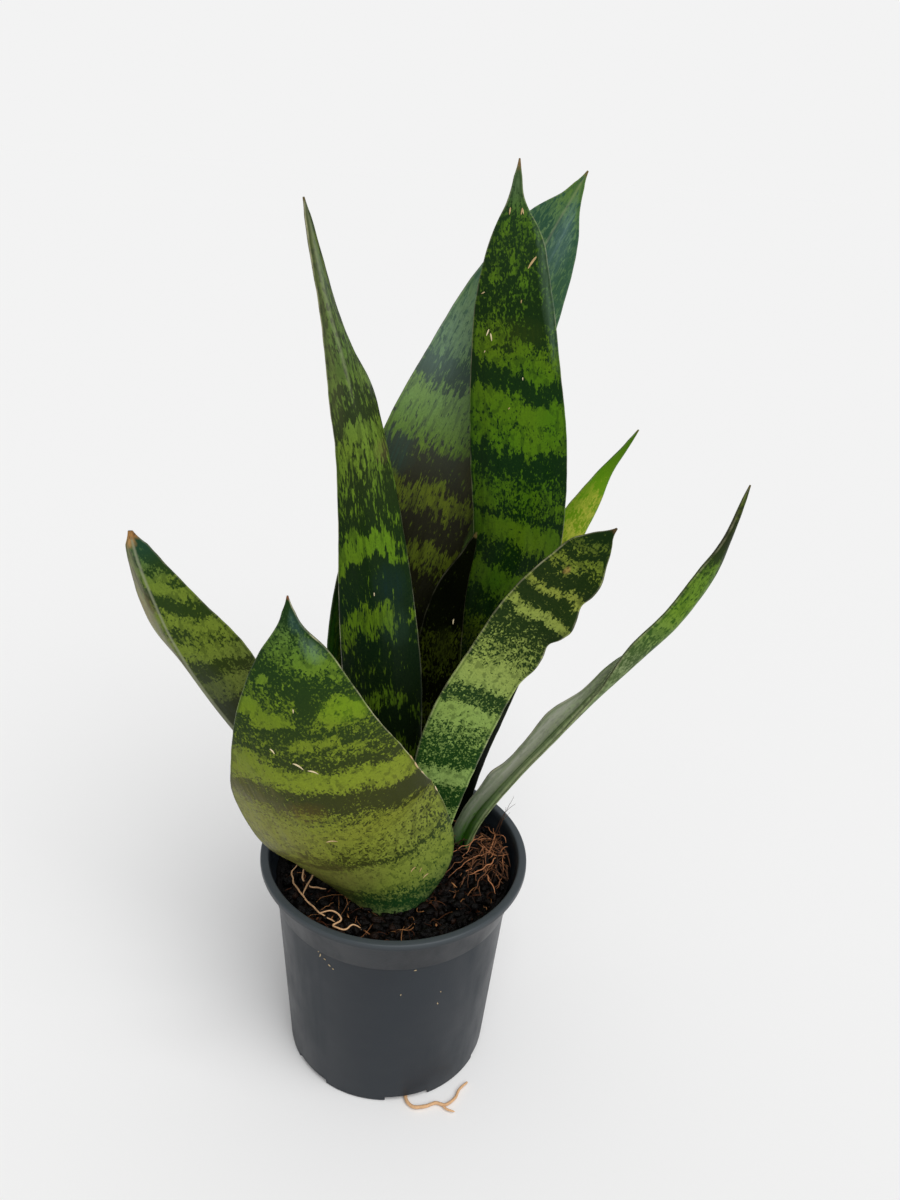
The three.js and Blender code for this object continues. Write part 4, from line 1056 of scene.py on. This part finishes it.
def leaf_finish(name, settings):
    """Waxy skin with lacy dark cross bands, a thin dry rim and a dry tip, with painted shade low on the
    blade and painted sheen, painted reflection and painted light in some patches.
    """
    look = LOOK_DEFAULTS | LEAF_LOOKS[name]
    f = LeafSkin(name + "_skin", look)
    light, dark = f.two_tones()
    colour = f.add_washes(f.mix(f.dark, light, dark))
    if "keel" in look:
        colour = f.add_keel_line(colour, *look["keel"])
    colour = f.add_rim(colour, dark, settings.margin_colour)
    colour = f.add_dry_tip(colour, *look["tip"])
    roughness = f.span(f.fine, 0.0, 1.0, settings.roughness - 0.05, settings.roughness + 0.1)
    roughness = f.times(f.dark, -0.04, roughness)
    normal = f.bump(f.fine, 0.02, f.bump(f.veins, 0.03))
    normal = f.bump(f.noise(f.spot, DENT_GRAIN, 1.0), 0.25, normal)
    return f.close(colour, roughness, normal, look["gloss"])


def pot_finish(settings):
    """Thin moulded plastic, satin, with a film of dust, painted shade on the collar and a painted highlight
    on the rim.
    """
    f = Finish("pot_plastic")
    spot = f.coordinates()
    dust = f.span(f.noise(spot, (0.09, 0.09, 0.05), 4.0, 0.6), 0.35, 0.9)
    streaks = f.span(f.noise(spot, (0.5, 0.5, 0.03), 3.0), 0.2, 0.8, 0.6, 1.0)
    film = f.times(dust, streaks)
    colour = f.mix(f.times(film, 0.16), settings.colour, "444B50")
    height = f.split(spot)[2]
    # Painted shade: the collar catches more light than the body below it, so its colour is darkened.
    collar_painted_shade = f.span(height, COLLAR_BOTTOM, COLLAR_BOTTOM + 0.4, 0.0, 0.45)
    colour = f.mix(collar_painted_shade, colour, [0.35 * part for part in settings.colour])
    # Painted highlight: the top of the rim is lightened.
    rim_painted_highlight = f.span(height, POT_HEIGHT - 1.6, POT_HEIGHT - 0.2)
    colour = f.mix(f.times(rim_painted_highlight, 0.4), colour, "5A6266")
    roughness = f.times(film, 0.22, settings.roughness)
    normal = f.bump(f.noise(spot, (3.0, 3.0, 3.0)), 0.012)
    normal = f.bump(f.noise(spot, (0.12, 0.12, 0.12), 1.0), 0.06, normal)
    return f.close(colour, roughness, normal, 0.32)


def toned_finish(name, stops, roughness, grain_depth, gloss=0.2):
    """Finish for crumbs and fibres: each takes its own tone from the stops."""
    f = Finish(name)
    grain = f.noise(f.coordinates(), (2.2, 2.2, 2.2), 3.0, 0.65)
    shade = f.times(f.math("SUBTRACT", grain, 0.5), 0.25, f.attribute("tone", "Fac"))
    return f.close(f.ramp(shade, stops), roughness, f.bump(grain, grain_depth), gloss)


def floor_finish(settings):
    """Plain matt paint, hardly uneven."""
    f = Finish("floor_paint")
    uneven = f.times(f.noise(f.coordinates(), (0.002, 0.002, 0.002)), 0.04)
    f.put(f.shader["Base Color"], f.mix(uneven, settings.floor_colour, (0.8, 0.8, 0.8)))
    f.shader["Roughness"].default_value = 0.85
    f.shader["Specular IOR Level"].default_value = 0.0
    return f.material


# ---------------------------------------------------------------- leaves


class Blade:
    """One leaf's blade: its cross sections along a smooth spine, and the points of both faces."""

    def __init__(self, name, settings):
        self.name = name
        self.seed = LEAF_LOOKS[name]["seed"]
        self.wave = settings.waviness / MM
        stations = np.asarray(LEAF_STATIONS[name], float)
        places, self.length = chord_places(stations[:, :3])
        self.at = 1 - (1 - np.linspace(0, 1, settings.steps + 1)) ** TIP_CROWDING
        self.rows = hermite(places, stations, self.at)
        nudge = 1e-3
        ahead = hermite(places, stations[:, :3], np.minimum(self.at + nudge, 1))
        behind = hermite(places, stations[:, :3], np.maximum(self.at - nudge, 0))
        along = unit(ahead - behind)
        facing = np.radians(self.rows[:, 5])
        out = np.stack([np.sin(facing), -np.cos(facing), np.zeros_like(facing)], 1)
        self.out = unit(out - along * (out * along).sum(1, keepdims=True))
        self.over = np.cross(along, self.out)
        to_tip = (1 - self.at) * self.length / TIP_LENGTH
        thinner = TIP_THINNING + (1 - TIP_THINNING) * np.minimum(1, to_tip)
        narrower = TIP_THINNING + (1 - TIP_THINNING) * np.minimum(1, 2 * to_tip)
        self.rows[:, 3:5] *= narrower[:, None]
        thick_places, thick = np.transpose(MIDDLE_THICKNESS)
        self.middle = hermite(thick_places, thick[:, None], self.at)[:, 0] * thinner
        self.margin = settings.margin / MM * thinner
        across = np.linspace(-1, 1, settings.across)
        self.across = np.sign(across) * np.abs(across) ** MARGIN_CROWDING
        self.loop = 2 * (settings.across + len(MARGIN_ANGLES))
        values = [self.point(k, *spot) for k in range(len(self.at)) for spot in self.outline(k)]
        self.points, self.places, self.skin = (np.array(part) for part in zip(*values))

    def half_width(self, k, t):
        return max(self.rows[k, 3 if t < 0 else 4], THINNEST)

    def rounding(self, k, t):
        """How far the round margin reaches in from the edge."""
        return min(self.margin[k] / 2, self.half_width(k, t) * WIDEST_ROUNDING)

    def section(self, k, t):
        """The middle surface at a share of the half width: to the side, outwards, and that width."""
        ripples = [ripple for ripple in LEAF_RIPPLES.get(self.name, []) if ripple[0] * t > 0]
        swing = sum(
            amount * math.exp(-(((self.at[k] - place) / reach) ** 2)) for _, place, amount, reach in ripples
        )
        width = self.half_width(k, t)
        uneven = smooth_noise(self.at[k] * self.length * MARGIN_GRAIN, math.copysign(9, t), self.seed)
        width = width + swing + MARGIN_UNEVENNESS * min(uneven, width)
        soft = math.sqrt(t * t + KEEL_SOFTNESS**2) - KEEL_SOFTNESS
        soft = soft / (math.sqrt(1 + KEEL_SOFTNESS**2) - KEEL_SOFTNESS)
        fold = math.radians(self.rows[k, 6])
        depth = width * (soft * math.sin(fold) + self.rows[k, 7] * t * t)
        return t * width * math.cos(fold), depth + RIPPLE_LIFT * swing * t * t, width

    def outline(self, k):
        """Round the blade: share of the half width, lift off the middle, push off the edge, face."""
        shares = [t * (1 - self.rounding(k, t) / self.half_width(k, t)) for t in self.across]
        turns = [math.radians(angle) for angle in MARGIN_ANGLES]
        front = [(t, 1.0, 0.0, 1.0) for t in shares]
        right = [(shares[-1], math.sin(a), math.cos(a), math.copysign(1, a)) for a in turns]
        back = [(t, -1.0, 0.0, -1.0) for t in reversed(shares)]
        left = [(shares[0], math.sin(a), -math.cos(a), math.copysign(1, a)) for a in reversed(turns)]
        return front + right + back + left

    def point(self, k, t, lift, push, face):
        """A point of the skin with its place on the blade and its place on the skin."""
        side, depth, width = self.section(k, t)
        side_a, depth_a, _ = self.section(k, t - LEAN_STEP)
        side_b, depth_b, _ = self.section(k, t + LEAN_STEP)
        lean = math.atan2(depth_b - depth_a, side_b - side_a)
        margin = self.margin[k]
        half = (margin + (self.middle[k] - margin) * (1 - t * t)) / 2
        half = min(half, self.rounding(k, t) + (half - margin / 2))
        inside = EDGE_PLACES[0] + EDGE_PLACES[1] * abs(lift)
        if not push:
            across, along = side * WAVE_GRAIN[0], self.at[k] * self.length * WAVE_GRAIN[1]
            half = half + self.wave * smooth_noise(across, along, self.seed + 3 * face) * (1 - t * t)
            inside = (1 - abs(t)) * width
        side = side - half * lift * math.sin(lean) + half * push * math.cos(lean)
        depth = depth + half * lift * math.cos(lean) + half * push * math.sin(lean)
        spot = self.rows[k, :3] + self.over[k] * side + self.out[k] * depth
        return spot, (t, self.at[k], inside), (t * width, self.at[k] * self.length, face)

    def spot(self, across, along):
        """A point on the front face with the directions across, along and out of it."""
        places = self.places.reshape(-1, self.loop, 3)
        points = self.points.reshape(-1, self.loop, 3)
        k = int(np.abs(places[:, 0, 1] - along).argmin())
        k = min(max(k, 1), len(points) - 2)
        j = int(np.abs(places[k, :len(self.across), 0] - across).argmin())
        j = min(max(j, 1), len(self.across) - 2)
        up = unit(points[k + 1, j] - points[k - 1, j])
        right = unit(points[k, j + 1] - points[k, j - 1])
        step = np.linalg.norm(points[k, j + 1] - points[k, j]) / (places[k, j + 1, 0] - places[k, j, 0])
        spot = points[k, j] + right * (across - places[k, j, 0]) * step
        return spot, right, up, unit(np.cross(right, up))


def make_leaf(name, settings):
    blade = Blade(name, settings)
    piece = add_mesh(name + "_blade", blade.points, blunt_faces(len(blade.at), blade.loop))
    add_values(piece, "place", blade.places)
    add_values(piece, "skin", blade.skin)
    bm = bmesh.new()
    bm.from_mesh(piece.data)
    bmesh.ops.recalc_face_normals(bm, faces=bm.faces)
    bm.to_mesh(piece.data)
    bm.free()
    return dress(piece, leaf_finish(name, settings), LEAF_LOOKS[name]["slot"], name)


class PLANT_OT_leaves(Operator):
    """Build the nine leaves with their banded skin"""

    bl_idname = "plant.leaves"
    bl_label = "Leaves"

    def execute(self, context):
        for name in LEAF_STATIONS:
            make_leaf(name, context.scene.plant_leaf)
        return {"FINISHED"}


def add_scale(bundle, spot, right, up, out, length, turn, tone):
    """A thin dry scale, a little curled, that lies on a face."""
    points, faces = ball(2)
    x, y, z = points.T
    lengthwise = math.cos(turn) * up + math.sin(turn) * right
    crosswise = math.cos(turn) * right - math.sin(turn) * up
    width = SCALE_WIDTH[0] + SCALE_WIDTH[1] * length
    curl = SCALE_CURL * length * x**2
    shape = (
        np.outer(x * length / 2, lengthwise)
        + np.outer(y * width / 2 * (1 + SCALE_TAPER * x), crosswise)
        + np.outer(z * SCALE_THICKNESS + curl, out)
    )
    bundle.add(shape + spot + out * SCALE_GAP, faces, tone)


class PLANT_OT_scales(Operator):
    """Lay a few dry scales on the leaves and a few specks on the pot"""

    bl_idname = "plant.scales"
    bl_label = "Dry scales"

    def execute(self, context):
        bundle = Bundle()
        draw = random.Random(4)
        for name, scales in SCALES.items():
            blade = Blade(name, context.scene.plant_leaf)
            for across, along, length, turn in scales:
                spot, right, up, out = blade.spot(across, along)
                add_scale(bundle, spot, right, up, out, length, math.radians(turn), draw.uniform(0.4, 1.0))
        for around, height, length in POT_SPECKS:
            around = math.radians(around)
            out = np.array([math.cos(around), math.sin(around), 0.0])
            right = np.array([-out[1], out[0], 0.0])
            spot = out * wall_radius(height) + (0, 0, height)
            add_scale(bundle, spot, right, np.array([0, 0, 1.0]), out, length, draw.uniform(0, 3), 0.7)
        stops = [(0.0, "7A5A34"), (0.5, "B89A6C"), (1.0, "E2D2AC")]
        finish = toned_finish("dry_scale_skin", stops, roughness=0.6, grain_depth=0.03)
        dress(bundle.mesh("dry_scales"), finish, "pale_root")
        return {"FINISHED"}


# ---------------------------------------------------------------- pot


def wall_radius(z):
    return FOOT_RADIUS + (COLLAR_RADIUS - FOOT_RADIUS) * z / COLLAR_BOTTOM


def inside_radius(z):
    """Radius of the pot's inside at a height near the collar."""
    bottom = COLLAR_BOTTOM + COLLAR_LIFT
    share = (z - bottom) / (POT_HEIGHT - INNER_ROUND - bottom)
    low = COLLAR_RADIUS + COLLAR_STEP - WALL
    return low + share * (COLLAR_TOP_RADIUS - EDGE_BREAK - INNER_ROUND - low)


def pot_profile():
    """The pot's section from the middle of its underside, up the outside and down the inside."""
    floor_top = FOOT_DEPTH + FLOOR_THICKNESS
    step_radius = COLLAR_RADIUS + COLLAR_STEP
    foot_inside = FOOT_RADIUS - FOOT_WIDTH
    collar_top = COLLAR_TOP_RADIUS - EDGE_BREAK
    lip_wide, lip_high = LIP_ROUND
    crown_middle = RIM_RADIUS - RIM_LEAN - CROWN_ROUND
    return [
        (0, 0), (CENTRE_PAD_RADIUS, 0), (CENTRE_PAD_RADIUS, FOOT_DEPTH), (foot_inside, FOOT_DEPTH),
        (foot_inside, EDGE_BREAK), (foot_inside + EDGE_BREAK, 0), (FOOT_RADIUS - FOOT_BEVEL, 0),
        *[(wall_radius(z), z) for z in (FOOT_BEVEL, 15, 30, COLLAR_BOTTOM)],
        *[(COLLAR_RADIUS + outwards, COLLAR_BOTTOM + up) for outwards, up in COLLAR_STEP_CURVE],
        (collar_top, LIP_BOTTOM - 0.5), (COLLAR_TOP_RADIUS + EDGE_BREAK, LIP_BOTTOM - EDGE_BREAK),
        *arc(RIM_RADIUS - lip_wide, LIP_BOTTOM + EDGE_BREAK + lip_high, lip_wide, lip_high, -90, -45, 0),
        *arc(crown_middle, POT_HEIGHT - CROWN_ROUND, CROWN_ROUND, CROWN_ROUND, 0, 30, 60, 90),
        *arc(collar_top, POT_HEIGHT - INNER_ROUND, INNER_ROUND, INNER_ROUND, 90, 120, 150, 180),
        (step_radius - WALL, COLLAR_BOTTOM + COLLAR_LIFT), (COLLAR_RADIUS - WALL, COLLAR_BOTTOM),
        (wall_radius(floor_top) - WALL - FLOOR_CORNER, floor_top), (0, floor_top),
    ]


def drain_cutter():
    """Blocks for the notches in the foot and rods for the holes in the floor, as one mesh."""
    cutter = Bundle()
    corners = [(x, y, z) for z in (-1, 1) for x, y in ((-1, -1), (1, -1), (1, 1), (-1, 1))]
    block = np.array(corners) * (NOTCH_CUT, NOTCH_WIDTH / 2, NOTCH_HEIGHT)
    block = block + (FOOT_RADIUS - FOOT_WIDTH / 2, 0, 0)
    rod = np.array([point for z in DRAIN_CUT for point in circle(DRAIN_RADIUS, z, DRAIN_SIDES)])
    rod = rod + (DRAIN_CIRCLE, 0, 0)
    for k in range(DRAIN_COUNT):
        turn = math.radians(DRAIN_FIRST_ANGLE + 360 / DRAIN_COUNT * k)
        rotation = np.array(Matrix.Rotation(turn, 3, "Z"))
        cutter.add(block @ rotation.T, blunt_faces(2, 4), 0)
        cutter.add(rod @ rotation.T, blunt_faces(2, DRAIN_SIDES), 0)
    return cutter.mesh("drain_cutter")


def cut_away(piece, cutter):
    modifier = piece.modifiers.new("cut", "BOOLEAN")
    modifier.operation = "DIFFERENCE"
    modifier.solver = "EXACT"
    modifier.object = cutter
    bpy.context.view_layer.objects.active = piece
    bpy.ops.object.modifier_apply(modifier=modifier.name)
    bpy.data.objects.remove(cutter)


def smooth_by_angle(piece, degrees):
    """Smooth faces, with every edge sharper than the angle kept crisp."""
    bm = bmesh.new()
    bm.from_mesh(piece.data)
    for face in bm.faces:
        face.smooth = True
    for edge in bm.edges:
        edge.smooth = len(edge.link_faces) == 2 and edge.calc_face_angle() < math.radians(degrees)
    bm.to_mesh(piece.data)
    bm.free()


class PLANT_OT_pot(Operator):
    """Build the moulded nursery pot with its rim, collar, foot and drain holes"""

    bl_idname = "plant.pot"
    bl_label = "Pot"

    def execute(self, context):
        settings = context.scene.plant_pot
        piece = turned("nursery_pot", pot_profile(), settings.sides)
        cut_away(piece, drain_cutter())
        smooth_by_angle(piece, CRISP_EDGE)
        dress(piece, pot_finish(settings), "pot_plastic", "pot")
        return {"FINISHED"}


# ---------------------------------------------------------------- soil


def soil_top(x, y):
    """Height of the peat, a little higher at the right, with lumps."""
    lumps = (
        0.45 * math.sin(0.55 * x + 1.3) * math.cos(0.48 * y - 0.4)
        + 0.3 * math.sin(0.95 * x - 0.75 * y + 2)
        + 0.2 * math.cos(1.1 * x + 1.25 * y)
    )
    return SOIL_LEVEL + SOIL_SLOPE[0] * x + SOIL_SLOPE[1] * y + lumps


def soil_reach(gap):
    """How far from the axis a thing may lie on the peat, with a gap to the pot."""
    return inside_radius(SOIL_LEVEL) - gap


def peat_bed():
    """The peat's body: a turned block whose top is a fine grid, rough with small lumps."""
    rings, sides = BED_RINGS, BED_SIDES
    floor = FOOT_DEPTH + FLOOR_THICKNESS + SOIL_GAP
    step = COLLAR_BOTTOM + COLLAR_LIFT
    edge = soil_reach(BED_GAP)
    points = circle(wall_radius(floor) - WALL - FLOOR_CORNER - SOIL_GAP, floor, sides)
    points += circle(COLLAR_RADIUS - WALL - SOIL_GAP, COLLAR_BOTTOM, sides)
    points += circle(inside_radius(step) - SOIL_GAP, step, sides)
    for i in range(rings, 0, -1):
        for x, y, _ in circle(edge * i / rings, 0, sides, 0.5 * (i % 2)):
            lumps = [high * smooth_noise(x * often, y * often, layer) for high, often, layer in BED_LUMPS]
            points.append((x, y, soil_top(x, y) - BED_SINK + sum(lumps)))
    centre = len(points)
    points.append((0, 0, soil_top(0, 0)))
    faces = ring_faces(rings + 3, sides) + tip_faces(centre, centre - sides, sides, True)
    return points, faces + [tuple(reversed(range(sides)))]


def random_turn(draw):
    axis = Vector((draw.gauss(0, 1), draw.gauss(0, 1), draw.gauss(0, 1))).normalized()
    return np.array(Matrix.Rotation(draw.uniform(0, 2 * math.pi), 3, axis))


def scatter_place(draw, reach):
    radius = reach * math.sqrt(draw.random())
    turn = draw.uniform(0, 2 * math.pi)
    return radius * math.cos(turn), radius * math.sin(turn)


def wander(x, y, heading, bend, step, count, reach, lift):
    """A route over the peat that bends evenly and ends at the pot's wall."""
    route = []
    for n in range(count):
        if math.hypot(x, y) > reach:
            break
        route.append((x, y, soil_top(x, y) + lift(n)))
        x, y = x + step * math.cos(heading), y + step * math.sin(heading)
        heading += bend
    return route


def add_crumbs(bundle, draw, count):
    """Lumps of peat of many sizes, pressed half into the bed."""
    small, large = ball(1), ball(2)
    smallest, more = CRUMB_SIZES
    reach = soil_reach(0.8)
    for k in range(count):
        size = smallest + more * draw.random() ** CRUMB_RARITY
        points, faces = large if size > ROUNDER_CRUMB else small
        stretch = np.array([draw.uniform(0.7, 1.5), draw.uniform(0.6, 1.0), draw.uniform(0.5, 0.9)])
        rough = np.array([1 + 0.45 * smooth_noise(*(point * 1.7 + k * 3.7)) for point in points])
        x, y = scatter_place(draw, reach - size)
        lump = (points * rough[:, None] * stretch * size) @ random_turn(draw).T
        z = soil_top(x, y) + draw.uniform(-0.4, 0.75) * size
        bundle.add(lump + (x, y, z), faces, draw.random() ** 2 * 0.75)


def add_slivers(bundle, draw, count):
    """Flat splinters of bark that lie about on the peat."""
    points, faces = ball(1)
    reach = soil_reach(1.5)
    for k in range(count):
        length = draw.uniform(0.4, 2.2)
        x, y = scatter_place(draw, reach - length)
        shape = points * (length, draw.uniform(0.1, 0.3), draw.uniform(0.08, 0.18))
        bent = [[0, smooth_noise(point[0] + k, 0, 0), smooth_noise(point[0], k, 4)] for point in points]
        heading = Matrix.Rotation(draw.uniform(0, math.pi), 3, "Z")
        tilt = Matrix.Rotation(draw.gauss(0, 0.3), 3, "Y")
        shape = (shape + 0.12 * np.array(bent)) @ np.array(heading @ tilt).T
        bundle.add(shape + (x, y, soil_top(x, y) + draw.uniform(0.1, 0.55)), faces, draw.uniform(0.3, 1.0))


def add_threads(bundle, draw, count):
    """Fine curved fibres over the peat."""
    for k in range(count):
        x, y = scatter_place(draw, soil_reach(2))
        heading = draw.uniform(0, 2 * math.pi)
        bend = draw.gauss(0, 0.45)
        step = draw.uniform(0.5, 1.7)
        points = draw.randint(4, 8)
        route = wander(x, y, heading, bend, step, points, soil_reach(1.4), lambda n: draw.uniform(0.3, 1.1))
        if len(route) > 2:
            radius = draw.uniform(*THREAD_RADII)
            bundle.add_tube(route, radius, "thread", k, draw.uniform(0.45, 1.0))


class PLANT_OT_soil(Operator):
    """Fill the pot with dark crumbly peat, bark slivers and fine fibres"""

    bl_idname = "plant.soil"
    bl_label = "Soil"

    def execute(self, context):
        settings = context.scene.plant_soil
        draw = random.Random(settings.seed)
        bed = Bundle()
        bed.add(*peat_bed(), 0.12)
        add_crumbs(bed, draw, settings.crumbs)
        stops = tones(settings.colour, ((0.0, 0.02), (0.3, 0.06), (0.6, 0.2), (0.85, 0.9), (1.0, 2.4)))
        finish = toned_finish("peat_crumbs", stops, roughness=0.42, grain_depth=0.2, gloss=0.14)
        dress(bed.mesh("peat"), finish, "peat", "soil")
        litter = Bundle()
        add_slivers(litter, draw, settings.slivers)
        add_threads(litter, draw, settings.threads)
        stops = [(0.0, "0E0703"), (0.45, "2C170C"), (0.75, "5A321A"), (1.0, "A8764A")]
        finish = toned_finish("bark", stops, roughness=0.55, grain_depth=0.08)
        dress(litter.mesh("bark_and_threads"), finish, "peat")
        return {"FINISHED"}


# ---------------------------------------------------------------- rhizome, roots and fibres


def on_soil(route, lift=0.0):
    return [(x, y, soil_top(x, y) + above + lift) for x, y, above in route]


class PLANT_OT_rhizome(Operator):
    """Build the underground stem and the root that leaves by the front drain hole"""

    bl_idname = "plant.rhizome"
    bl_label = "Rhizome"

    def execute(self, context):
        bundle = Bundle()
        for radius, route in [(TRUNK_RADIUS, TRUNK)] + [(BRANCH_RADIUS, branch) for branch in BRANCHES]:
            middle = [(x, y, TRUNK_LEVEL + rise) for x, y, rise in route]
            bundle.add_tube(middle, radius, "trunk", seed=1, tone=0.55)
        for k, root in enumerate(BURIED_ROOTS):
            bundle.add_tube(root, BURIED_ROOT_RADIUS, "buried root", seed=k + 2, tone=0.5)
        bundle.add_tube(DRAIN_ROOT, DRAIN_ROOT_RADIUS, "drain root", seed=4, tone=0.75)
        bundle.add_tube(DRAIN_ROOT_FORK, FORK_RADIUS, "root fork", seed=5, tone=0.8)
        colour = context.scene.plant_root.root_colour
        stops = tones(colour, ((0.0, 0.3), (0.5, 0.75), (0.75, 1.15), (1.0, 1.5)))
        finish = toned_finish("root_skin", stops, roughness=0.6, grain_depth=0.06)
        dress(bundle.mesh("root_stock"), finish, "pale_root", "rhizome")
        return {"FINISHED"}


class PLANT_OT_roots(Operator):
    """Lay the curly dry roots on the peat at the left front"""

    bl_idname = "plant.roots"
    bl_label = "Curly roots"

    def execute(self, context):
        draw = random.Random(5)
        bundle = Bundle()
        for k, route in enumerate(CURLY_ROOTS):
            tone = draw.uniform(0.55, 0.9)
            bundle.add_tube(on_soil(route, CURLY_LIFT), CURLY_ROOT_RADIUS, "curly root", k + 6, tone)
        colour = context.scene.plant_root.root_colour
        stops = tones(colour, ((0.0, 0.22), (0.5, 0.65), (0.8, 1.0), (1.0, 1.4)))
        finish = toned_finish("dry_root_skin", stops, roughness=0.62, grain_depth=0.05)
        dress(bundle.mesh("dry_roots"), finish, "pale_root", "curly_roots")
        return {"FINISHED"}


def loose_fibre(draw, reach):
    """A route for one loose fibre of the tuft, in a low arch over the peat."""
    x, y = [draw.gauss(0, spread) + middle for middle, spread in zip(TUFT_MIDDLE, TUFT_SPREAD)]
    heading = draw.choice(TUFT_HEADINGS) + draw.gauss(0, 0.35)
    bend = draw.gauss(0, 0.2)
    step = draw.uniform(0.6, 1.9)
    height = draw.uniform(0.4, 3.2)
    arch = [0.2 + height * math.sin(math.pi * (n + 0.6) / (TUFT_POINTS + 0.2)) for n in range(TUFT_POINTS)]
    return wander(x, y, heading, bend, step, TUFT_POINTS, reach, lambda n: arch[n])


class PLANT_OT_coir(Operator):
    """Lay the tuft of coarse brown fibre against the pot's wall at the right"""

    bl_idname = "plant.coir"
    bl_label = "Coir tuft"

    def execute(self, context):
        settings = context.scene.plant_root
        draw = random.Random(8)
        bundle = Bundle()
        for k, route in enumerate(COIR_FIBRES):
            bundle.add_tube(on_soil(route), COIR_RADIUS, "coir", k + 9, draw.uniform(0.4, 0.9))
        for k, route in enumerate(STRAY_HAIRS):
            bundle.add_tube(route, HAIR_RADIUS, "hair", seed=k + 20, tone=0.25)
        for k in range(settings.coir_count):
            route = loose_fibre(draw, soil_reach(0.5))
            if len(route) > 2:
                radius = draw.uniform(*LOOSE_COIR_RADII)
                bundle.add_tube(route, radius, "loose coir", k, draw.uniform(0.0, 1.0))
        stops = tones(settings.coir_colour, ((0.0, 0.05), (0.4, 0.36), (0.75, 1.0), (1.0, 2.2)))
        finish = toned_finish("coir", stops, roughness=0.65, grain_depth=0.05)
        dress(bundle.mesh("coir_tuft"), finish, "coir", "coir_fibres")
        return {"FINISHED"}


# ---------------------------------------------------------------- stage


def add_floor(settings):
    profile = [(0, FLOOR_BOTTOM), (FLOOR_RADIUS, FLOOR_BOTTOM), (FLOOR_RADIUS, FLOOR_TOP), (0, FLOOR_TOP)]
    floor = turned("floor", profile, FLOOR_SIDES, smooth=False)
    floor.data.materials.append(floor_finish(settings))


def add_sky(scene, settings):
    """An even white light. The sky that is seen directly is as bright as the floor before it."""
    world = bpy.data.worlds.new("studio")
    world.use_nodes = True
    nodes, links = world.node_tree.nodes, world.node_tree.links
    background = nodes["Background"]
    background.inputs[0].default_value = (1.0, 1.0, 1.0, 1.0)
    floor_light = settings.sky + settings.key * KEY_FROM[2] / math.pi
    seen = nodes.new("ShaderNodeMapRange")
    seen.inputs["To Min"].default_value = settings.sky
    seen.inputs["To Max"].default_value = floor_light * settings.floor_colour[1]
    links.new(nodes.new("ShaderNodeLightPath").outputs["Is Camera Ray"], seen.inputs["Value"])
    links.new(seen.outputs[0], background.inputs[1])
    scene.world = world


def add_key_light(strength):
    """A distant soft light."""
    lamp = bpy.data.lights.new("key", "SUN")
    lamp.angle = math.radians(KEY_SPREAD)
    lamp.energy = strength
    holder = bpy.data.objects.new("key", lamp)
    bpy.context.scene.collection.objects.link(holder)
    holder.rotation_euler = (-Vector(KEY_FROM)).to_track_quat("-Z", "Y").to_euler()


def add_camera():
    camera = bpy.data.cameras.new("camera")
    camera.sensor_fit = "VERTICAL"
    camera.sensor_height = SENSOR
    camera.lens = FOCAL_PIXELS / FRAME_HEIGHT * SENSOR
    camera.clip_start = NEAREST_SEEN
    holder = bpy.data.objects.new("camera", camera)
    bpy.context.scene.collection.objects.link(holder)
    turn = Matrix(CAMERA_TURN).to_quaternion().to_matrix().to_4x4()
    holder.matrix_world = Matrix.Translation(CAMERA_PLACE) @ turn
    bpy.context.scene.camera = holder


class PLANT_OT_stage(Operator):
    """Set the plain floor, the soft studio light and the camera"""

    bl_idname = "plant.stage"
    bl_label = "Stage"

    def execute(self, context):
        settings = context.scene.plant_stage
        context.scene.view_settings.view_transform = "Standard"
        add_sky(context.scene, settings)
        add_floor(settings)
        add_key_light(settings.key)
        add_camera()
        return {"FINISHED"}


# ---------------------------------------------------------------- panel and registration


OPERATORS = (
    PLANT_OT_stage, PLANT_OT_pot, PLANT_OT_soil, PLANT_OT_rhizome, PLANT_OT_roots, PLANT_OT_coir,
    PLANT_OT_leaves, PLANT_OT_scales,
)
SETTINGS = {
    "plant_leaf": LeafSettings,
    "plant_pot": PotSettings,
    "plant_soil": SoilSettings,
    "plant_root": RootSettings,
    "plant_stage": StageSettings,
}


class VIEW3D_PT_plant(Panel):
    """Lists the pieces of the potted snake plant"""

    bl_idname = "VIEW3D_PT_plant"
    bl_label = "Potted snake plant"
    bl_space_type = "VIEW_3D"
    bl_region_type = "UI"
    bl_category = "Plant"

    def draw(self, context):
        for name, group in SETTINGS.items():
            box = self.layout.box()
            for prop in group.__annotations__:
                box.prop(getattr(context.scene, name), prop)
        for operator in OPERATORS:
            self.layout.operator(operator.bl_idname)


def register():
    for group in (*SETTINGS.values(), *OPERATORS, VIEW3D_PT_plant):
        bpy.utils.register_class(group)
    for name, group in SETTINGS.items():
        setattr(bpy.types.Scene, name, PointerProperty(type=group))


def unregister():
    for name in SETTINGS:
        delattr(bpy.types.Scene, name)
    for group in (VIEW3D_PT_plant, *OPERATORS, *SETTINGS.values()):
        bpy.utils.unregister_class(group)


def main():
    register()
    bpy.ops.plant.stage()
    bpy.ops.plant.pot()
    bpy.ops.plant.soil()
    bpy.ops.plant.rhizome()
    bpy.ops.plant.roots()
    bpy.ops.plant.coir()
    bpy.ops.plant.leaves()
    bpy.ops.plant.scales()


if __name__ == "__main__":
    main()
